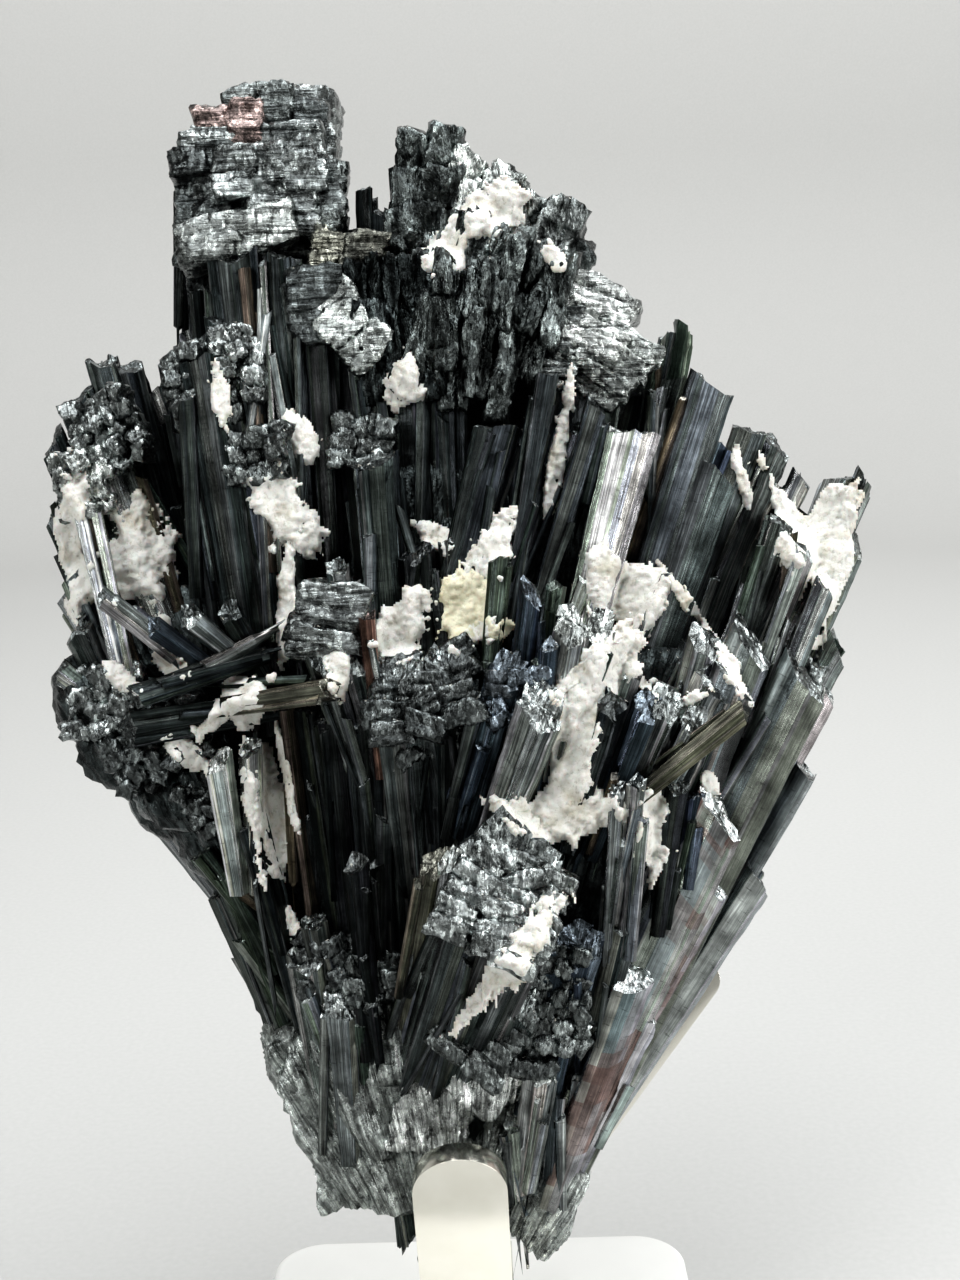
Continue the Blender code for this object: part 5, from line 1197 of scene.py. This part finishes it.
# ---- Grainy masses -------------------------------------------------------------------------------
# Stibnite that grew as a coarse crust of grains between the crystals and on their ends, dark with
# glinting breaks.
GRAINY = ((1.4, 0.35, "smooth"), (0.7, 0.25, "block"), (0.4, 0.1, "smooth"))
growth = Growth()
blocks(growth, (
    ("mass_left_high", (-36, 121, -4), (4.6, 5.4, 3), 10, "steel", None),
    ("mass_under_tower", (-31, 124, -4), (3.6, 4.6, 3), 0, "grey", None),
    ("mass_arrow", (-28.4, 111.6, -5), (3.8, 3.8, 3), 0, "steel", None),
    ("mass_wing_top", (-49, 114.4, 1), (4.6, 5.4, 4), 20, "grey", None),
    ("mass_wing_outer", (-52.4, 107, 0), (3.6, 4.6, 4), 10, "pale", None),
    ("mass_middle_low", (-3, 73, -12), (5.6, 4.6, 3), 0, "dark", None),
    ("mass_star", (8, 77.5, -16), (4.0, 4.0, 2), 0, "blue", None),
    ("mass_glitter", (13, 36, -12), (4.6, 7.4, 3.5), 0, "steel", None),
    ("mass_glitter_low", (9, 30, -11), (4.6, 4.6, 3), 0, "dark", None),
    ("mass_low_left", (-18, 40, -7), (4.6, 4.6, 3), 0, "dark", None),
    ("mass_low_middle", (-12, 38, -8), (3.6, 3.6, 3), 0, "steel", None),
    ("mass_right", (46, 80, 0), (4.2, 3.6, 3.6), -30, "steel", None),
    ("mass_wing_under", (-42, 70.6, -4), (7.2, 4.2, 4), 30, "dark", None),
    ("mass_wing_end", (-49.6, 77, -3), (4.4, 4.6, 4), 0, "grey", None),
    ("mass_wing_low", (-34.6, 62.6, -4), (3.6, 4.2, 3), 40, "dark", None),
    ("mass_thick_top", (-13.6, 113, -2), (4.4, 3.8, 3), 0, "steel", None),
), GRAINY, (2.6, 2.2), 3, 0.3, 20.0)
growth.piece("spray_grainy_masses", (striated, broken), "stibnite_spray")


# ---- Calcite -------------------------------------------------------------------------------------
# White calcite filling the gaps between the crystals: crumbly, granular growths, creamy in places.
# It grew last, around the crystals, and holds to them.
CALCITE = (                         # (name, ovals of (x, z, across, up, tilt) in mm and degrees)
    ("calcite_second_tower", ((4.2, 145.4, 5.0, 2.8, 30), (-2.2, 140.4, 4.0, 2.6, 50))),
    ("calcite_left_edge", ((-55.6, 100.4, 2.4, 8.4, -8), (-54.0, 91.6, 2.2, 5.0, -14))),
    ("calcite_hollow", ((-44.6, 97, 4.4, 6.4, 8),)),
    ("calcite_middle_left", ((-24.8, 104.0, 3.2, 4.6, 20), (-22.0, 100.6, 2.8, 2.8, 0))),
    ("calcite_cap", ((-7.6, 121.6, 2.3, 2.9, 0),)),
    ("calcite_cream", ((0.4, 90.4, 3.1, 4.8, 0), (3.2, 87.2, 3.0, 1.6, 0))),
    ("calcite_band", ((4.0, 97.6, 2.3, 5.8, -22),)),
    ("calcite_left_of_cream", ((-7.8, 87.6, 2.5, 5.4, -18),)),
    ("calcite_right_high", ((20.0, 94.4, 3.1, 4.8, -8), (25.2, 91.0, 3.2, 5.6, -18))),
    ("calcite_vein", ((16.4, 73.6, 2.9, 6.6, 2), (15.8, 66.6, 2.7, 5.4, -10),
                      (20.6, 81.8, 3.0, 5.4, -38), (8.6, 60.2, 2.8, 2.8, 0), (14.6, 60.8, 4.2, 3.0, 0),
                      (19.2, 61.4, 3.2, 2.5, 30))),
    ("calcite_right_low", ((27.2, 58.6, 1.8, 5.6, -4),)),
    ("calcite_right_wing", ((49.4, 101.6, 3.4, 7.4, -16), (53.6, 96.4, 3.0, 8.6, -12))),
    ("calcite_fork", ((-30.0, 77.4, 2.5, 3.0, 0),)),
    ("calcite_left_low", ((-27.0, 61.4, 2.3, 6.8, 10),)),
    ("calcite_white_tip", ((-17.4, 80.6, 1.6, 3.2, 6),)),
    ("calcite_streak", ((8.4, 41.4, 2.2, 7.0, -36),)),
)

# Crumbly calcite: dull white and a little translucent, with darker pits about 0.8 mm wide and a faint
# buff stain in patches of some 4 mm.
crumbly, tree, shader = new_material("crumbly_calcite")
tint = add(tree, "VertexColor", layer_name="tint").outputs["Color"]
place = millimetres(tree)
crumb = add(tree, "TexNoise", [("Vector", place)], Scale=1.3, Detail=5.0, Roughness=0.68).outputs["Fac"]
stain = add(tree, "TexNoise", [("Vector", place)], Scale=0.25, Detail=4.0, Roughness=0.6).outputs["Fac"]
tone = toned(tree, tint, [
    (crumb, 0.8, [(0.30, "#b9b6ab"), (0.46, "#ffffff")]),
    (stain, 0.8, [(0.28, "#c9c3b2"), (0.50, "#ffffff")]),
])
finish(tree, shader, tone, None, [(crumb, 0.8, 0.35)])
shader.inputs["Roughness"].default_value = 0.62
shader.inputs["Subsurface Weight"].default_value = 0.15
shader.inputs["Subsurface Scale"].default_value = 1.0 * MM


def surface_tree():
    """A search tree over everything grown so far."""
    corners, triangles, count = [], [], 0
    for points, faces in surfaces:
        corners.append(points)
        for n, group in faces.items():
            triangles.append(group[:, (0, 1, 2)] + count)
            if n == 4:
                triangles.append(group[:, (0, 2, 3)] + count)
        count += len(points)
    return BVHTree.FromPolygons(np.concatenate(corners).tolist(), np.concatenate(triangles).tolist())


skin = surface_tree()
EYE = Vector((STATION[0], -STATION_DISTANCE, STATION[1]))    # the station point


def hit(x, z):
    """The first point of the surface behind (x, z) of the face plane."""
    return skin.ray_cast(EYE, (Vector((x, 0.0, z)) - EYE).normalized())[0]


WHITE = hexa("#dddcd6")[:3]
CREAM = hexa("#dcd8c0")[:3]


def coat(growth, ovals, thick, seed, tint, pitch=0.3):
    """One ragged patch of calcite over and between the crystals, following (x, z, across, up, tilt) ovals.

    It fills the hollows under it up to a level and stands out by its thickness, and its edge dips under.
    Returns places along its edge."""
    reach = 1.4 * max(max(oval[2], oval[3]) for oval in ovals)
    xs = np.arange(min(oval[0] for oval in ovals) - reach, max(oval[0] for oval in ovals) + reach, pitch)
    zs = np.arange(min(oval[1] for oval in ovals) - reach, max(oval[1] for oval in ovals) + reach, pitch)
    x, z = np.meshgrid(xs, zs)
    spots = np.column_stack([x.ravel(), np.zeros(x.size), z.ravel()])
    # How well each spot is covered, from 1 in an oval's middle to 0 at its edge, frayed by noise.
    cover = np.full(len(spots), -9.0)
    for middle_x, middle_z, across, up, tilt in ovals:
        c, s = math.cos(math.radians(tilt)), math.sin(math.radians(tilt))
        dx, dz = spots[:, 0] - middle_x, spots[:, 2] - middle_z
        cover = np.maximum(cover, 1.0 - np.hypot((dx * c + dz * s) / across, (dz * c - dx * s) / up))
    fan = np.column_stack([fan_angle(spots) * 70.0, spots[:, 1], 0.35 * spots[:, 2]])
    cover += 0.26 * noise(spots, 2.6, seed) + 0.30 * noise(fan, 1.3, seed + 1)
    cover += 0.30 * noise(fan, 0.7, seed + 2) + 0.10 * noise(spots, 0.6, seed + 6, blocky=True)
    # How far back the crystals lie under it, evened out to a level, and where there are none.
    rays = spots - np.array(EYE)
    rays /= np.linalg.norm(rays, axis=1)[:, None]
    far = np.full(len(spots), np.nan)
    missed = np.zeros(len(spots))
    for k in np.where(cover > -0.2)[0]:
        spot = skin.ray_cast(EYE, Vector(rays[k]))[0]
        if spot is None:
            missed[k] = 1.0
        else:
            far[k] = (spot - EYE).length
    missed = missed.reshape(x.shape)
    known = ~np.isnan(far)
    low, high = np.percentile(far[known], (15, 65))
    level = np.where(known, np.clip(far, low, high), 0.0).reshape(x.shape)
    weight = known.astype(float).reshape(x.shape)
    for _ in range(5):
        for axis in (0, 1):
            level = level + np.roll(level, 1, axis) + np.roll(level, -1, axis)
            weight = weight + np.roll(weight, 1, axis) + np.roll(weight, -1, axis)
            missed = (missed + np.roll(missed, 1, axis) + np.roll(missed, -1, axis)) / 3.0
    level = (level / np.maximum(weight, 1e-9)).ravel()
    cover = cover - 4.0 * missed.ravel()
    # The front sheet stands out over the level and the back one lies in the crystals.
    rise = thick * np.clip(cover / 0.3, -0.6, 1.0) + 0.45 * noise(spots, 2.0, seed + 3)
    rise += 0.22 * noise(spots, 0.8, seed + 4, blocky=True) + 0.12 * noise(spots, 0.45, seed + 5)
    front = level - rise
    sheets = [np.array(EYE) + rays * d[:, None] for d in (front, np.maximum(front, level) + 2.5)]
    kept = (known & (cover > -0.18)).reshape(x.shape)
    kept = kept[:-1, :-1] & kept[1:, :-1] & kept[:-1, 1:] & kept[1:, 1:]
    # Faces for both sheets, then for the rim that joins them, without the points that none of them uses.
    number = np.arange(x.size).reshape(x.shape)
    corners = np.stack([number[:-1, :-1], number[:-1, 1:], number[1:, 1:], number[1:, :-1]], -1)
    quads = [corners[kept], corners[kept][:, ::-1] + x.size]
    padded = np.pad(kept, 1)
    for a, b, (down, right) in ((0, 1, (-1, 0)), (1, 2, (0, 1)), (2, 3, (1, 0)), (3, 0, (0, -1))):
        beyond = padded[1 + down:padded.shape[0] - 1 + down, 1 + right:padded.shape[1] - 1 + right]
        rim = corners[kept & ~beyond]
        quads.append(np.stack([rim[:, b], rim[:, a], rim[:, a] + x.size, rim[:, b] + x.size], -1))
    quads = np.concatenate(quads)
    points = np.concatenate(sheets)
    used, compact = np.unique(quads, return_inverse=True)
    quads = compact.reshape(quads.shape)
    points = points[used]
    growth.verts.append(points)
    shade = np.array(tint)[None] * np.exp(0.06 * noise(points[quads].mean(axis=1), 1.5, seed))[:, None]
    shade = np.column_stack([np.clip(shade, 0.0, 0.95), np.full(len(shade), 0.6)])
    growth.put(quads + growth.count, points[:, (0, 2)][quads], shade, 0)
    growth.count += len(points)
    edge = spots[known & (np.abs(cover) < 0.12)]
    return edge[:, (0, 2)]


def crumbs(growth, places, number, rng):
    """Loose-looking crumbs of calcite at some places, each a small rough grain."""
    for k in range(number):
        x, z = places[rng.randrange(len(places))]
        spot = hit(x + rng.gauss(0, 0.5), z + rng.gauss(0, 0.5))
        if spot is None:
            continue
        size = 0.15 + 0.5 * rng.random() ** 2
        sizes = [size * rng.uniform(0.5, 1.4) for _ in range(3)]
        knob(growth, spot, sizes, rng.uniform(0, 180), 2, ((0.5, 0.4 * size, "block"),), k, WHITE)


for i, (node, ovals) in enumerate(CALCITE):
    growth = Growth()
    rng = random.Random(node)
    tint = CREAM if node == "calcite_cream" else WHITE
    ovals = [(x, z, 1.12 * across, 1.12 * up, tilt) for x, z, across, up, tilt in ovals]
    edge = coat(growth, ovals, 0.9, 11 * i, tint)
    crumbs(growth, edge, 6, rng)
    growth.piece(node.replace("calcite", "white_growth"), (crumbly,), node)


# Thin white veins and films that lie on the stibnite, too small to be solids of their own.
VEINS = (                           # (one end and the other as (x, z), width), in mm
    ((-26.2, 75.5), (-23.0, 59.7), 1.0), ((-32.0, 78.0), (-36.0, 72.5), 1.6),
    ((-24.0, 99.0), (-25.0, 84.0), 1.4), ((-34.5, 125.0), (-33.0, 114.0), 1.8),
    ((-24.0, 117.0), (-21.0, 111.0), 2.4), ((15.0, 119.5), (12.5, 104.0), 1.6),
    ((-5.5, 101.5), (-1.0, 98.5), 2.0), ((5.5, 88.0), (1.0, 86.0), 1.8),
    ((28.0, 96.0), (35.0, 87.0), 1.2), ((31.5, 76.5), (35.0, 78.5), 1.4),
    ((36.0, 85.5), (40.0, 77.0), 1.6), ((39.0, 111.0), (40.5, 105.0), 1.3),
    ((0.5, 32.5), (13.0, 47.5), 1.8), ((34.0, 67.0), (36.0, 64.0), 1.2),
    ((-50.0, 82.0), (-45.0, 78.0), 1.8), ((-42.0, 82.5), (-37.5, 80.5), 2.0),
    ((-24.0, 47.0), (-23.0, 43.5), 1.2), ((-40.5, 71.5), (-36.0, 67.5), 2.2),
    ((12.0, 140.0), (14.5, 138.0), 1.6), ((-57.0, 107.0), (-56.0, 88.0), 2.2),
    ((22.0, 84.0), (27.0, 78.0), 1.4), ((44.0, 108.0), (50.0, 94.0), 1.8),
    ((55.0, 106.0), (52.0, 88.0), 1.8), ((13.0, 77.0), (20.0, 84.0), 1.5),
    ((-30.0, 68.0), (-28.0, 54.0), 1.4), ((-27.0, 107.0), (-22.0, 99.0), 2.0),
    ((5.0, 62.0), (12.0, 58.0), 2.0),
)
growth = Growth()
rng = random.Random("veins")
for i, (start, stop, width) in enumerate(VEINS):
    run = Vector(stop) - Vector(start)
    tilt = -math.degrees(math.atan2(run.x, run.y))
    middle = (Vector(start) + Vector(stop)) / 2.0
    oval = (middle.x, middle.y, 0.75 * width, 0.6 * run.length, tilt)
    edge = coat(growth, (oval,), 0.6, 7 * i + 3, WHITE, 0.25)
    if len(edge):
        crumbs(growth, edge, 2, rng)
growth.piece("white_veins", (crumbly,))


# ---- Plain studio --------------------------------------------------------------------------------
# A pale floor that sweeps up into a wall all round, a soft box overhead, weaker ones at the sides and
# one that lights the wall behind.
FLOOR, COVE, WALL_TOP = 0.85, 0.25, 1.4     # the flat floor's radius, the cove's and the wall's height, in m

# Matt white paper: even and without gloss, with a tooth about 1 mm wide that only just shows.
paper, tree, shader = new_material("matt_white_paper")
place = millimetres(tree)
tooth = add(tree, "TexNoise", [("Vector", place)], Scale=0.8, Detail=2.0).outputs["Fac"]
tone = add(tree, "ValToRGB", [("Fac", tooth)], [(0.3, "#adadab"), (0.7, "#b1b1af")]).outputs["Color"]
tree.links.new(tone, shader.inputs["Base Color"])
shader.inputs["Roughness"].default_value = 0.7
profile = [(FLOOR + COVE * math.sin(a), COVE - COVE * math.cos(a))
           for a in np.radians(np.linspace(0, 90, 13))]
profile += [(FLOOR + COVE, WALL_TOP)]
bm = bmesh.new()
rings = [[bm.verts.new((r * math.cos(a), r * math.sin(a), z)) for a in np.radians(np.arange(0, 360, 5))]
         for r, z in profile]
bm.faces.new(rings[0])
for low, high in zip(rings, rings[1:]):
    for k in range(len(low)):
        bm.faces.new((low[k], low[k - 1], high[k - 1], high[k]))
mesh = bpy.data.meshes.new("sweep")
bm.to_mesh(mesh)
bm.free()
sweep = bpy.data.objects.new("sweep", mesh)
bpy.context.scene.collection.objects.link(sweep)
mesh.materials.append(paper)
mesh.shade_smooth()


def soft_box(name, place, target, size, power, colour="#ffffff"):
    """A soft box at a place, turned to a target; its size is in m and its power in watts."""
    light = bpy.data.lights.new(name, "AREA")
    light.shape = "RECTANGLE"
    light.size, light.size_y = size
    light.energy = power
    light.color = hexa(colour)[:3]
    lamp = bpy.data.objects.new(name, light)
    bpy.context.scene.collection.objects.link(lamp)
    lamp.location = place
    lamp.rotation_euler = (Vector(place) - Vector(target)).to_track_quat("Z", "Y").to_euler()


soft_box("overhead", (0.08, -0.05, 0.80), (0.0, 0.0, 0.1), (0.8, 0.6), 7.5, "#fbfdff")
soft_box("front_left", (-0.50, -0.60, 0.55), (0.0, 0.0, 0.12), (0.30, 0.40), 3.0)
soft_box("right_side", (0.70, -0.25, 0.30), (0.0, 0.0, 0.12), (0.4, 0.6), 4.0)
soft_box("wall_wash", (0.1, 0.45, 1.0), (0.15, 1.1, 0.3), (1.2, 0.3), 8.4)
world = bpy.data.worlds.new("room")
world.use_nodes = True
world.node_tree.nodes["Background"].inputs["Color"].default_value = hexa("#c9cdd2")
world.node_tree.nodes["Background"].inputs["Strength"].default_value = 0.05
bpy.context.scene.world = world
bpy.context.scene.view_settings.view_transform = "Standard"
bpy.context.scene.view_settings.look = "Medium High Contrast"

# The camera stands at the station point and looks straight at the face plane.
camera = bpy.data.objects.new("camera", bpy.data.cameras.new("camera"))
bpy.context.scene.collection.objects.link(camera)
camera.data.lens = 50.0
camera.data.sensor_width = 36.0
camera.data.clip_start = 0.01
station = STANDING @ Matrix.Translation((STATION[0], -STATION_DISTANCE, STATION[1]))
station = station @ Matrix.Rotation(math.radians(90.0), 4, "X")
camera.location = station.to_translation()
camera.rotation_euler = station.to_euler()
bpy.context.scene.camera = camera
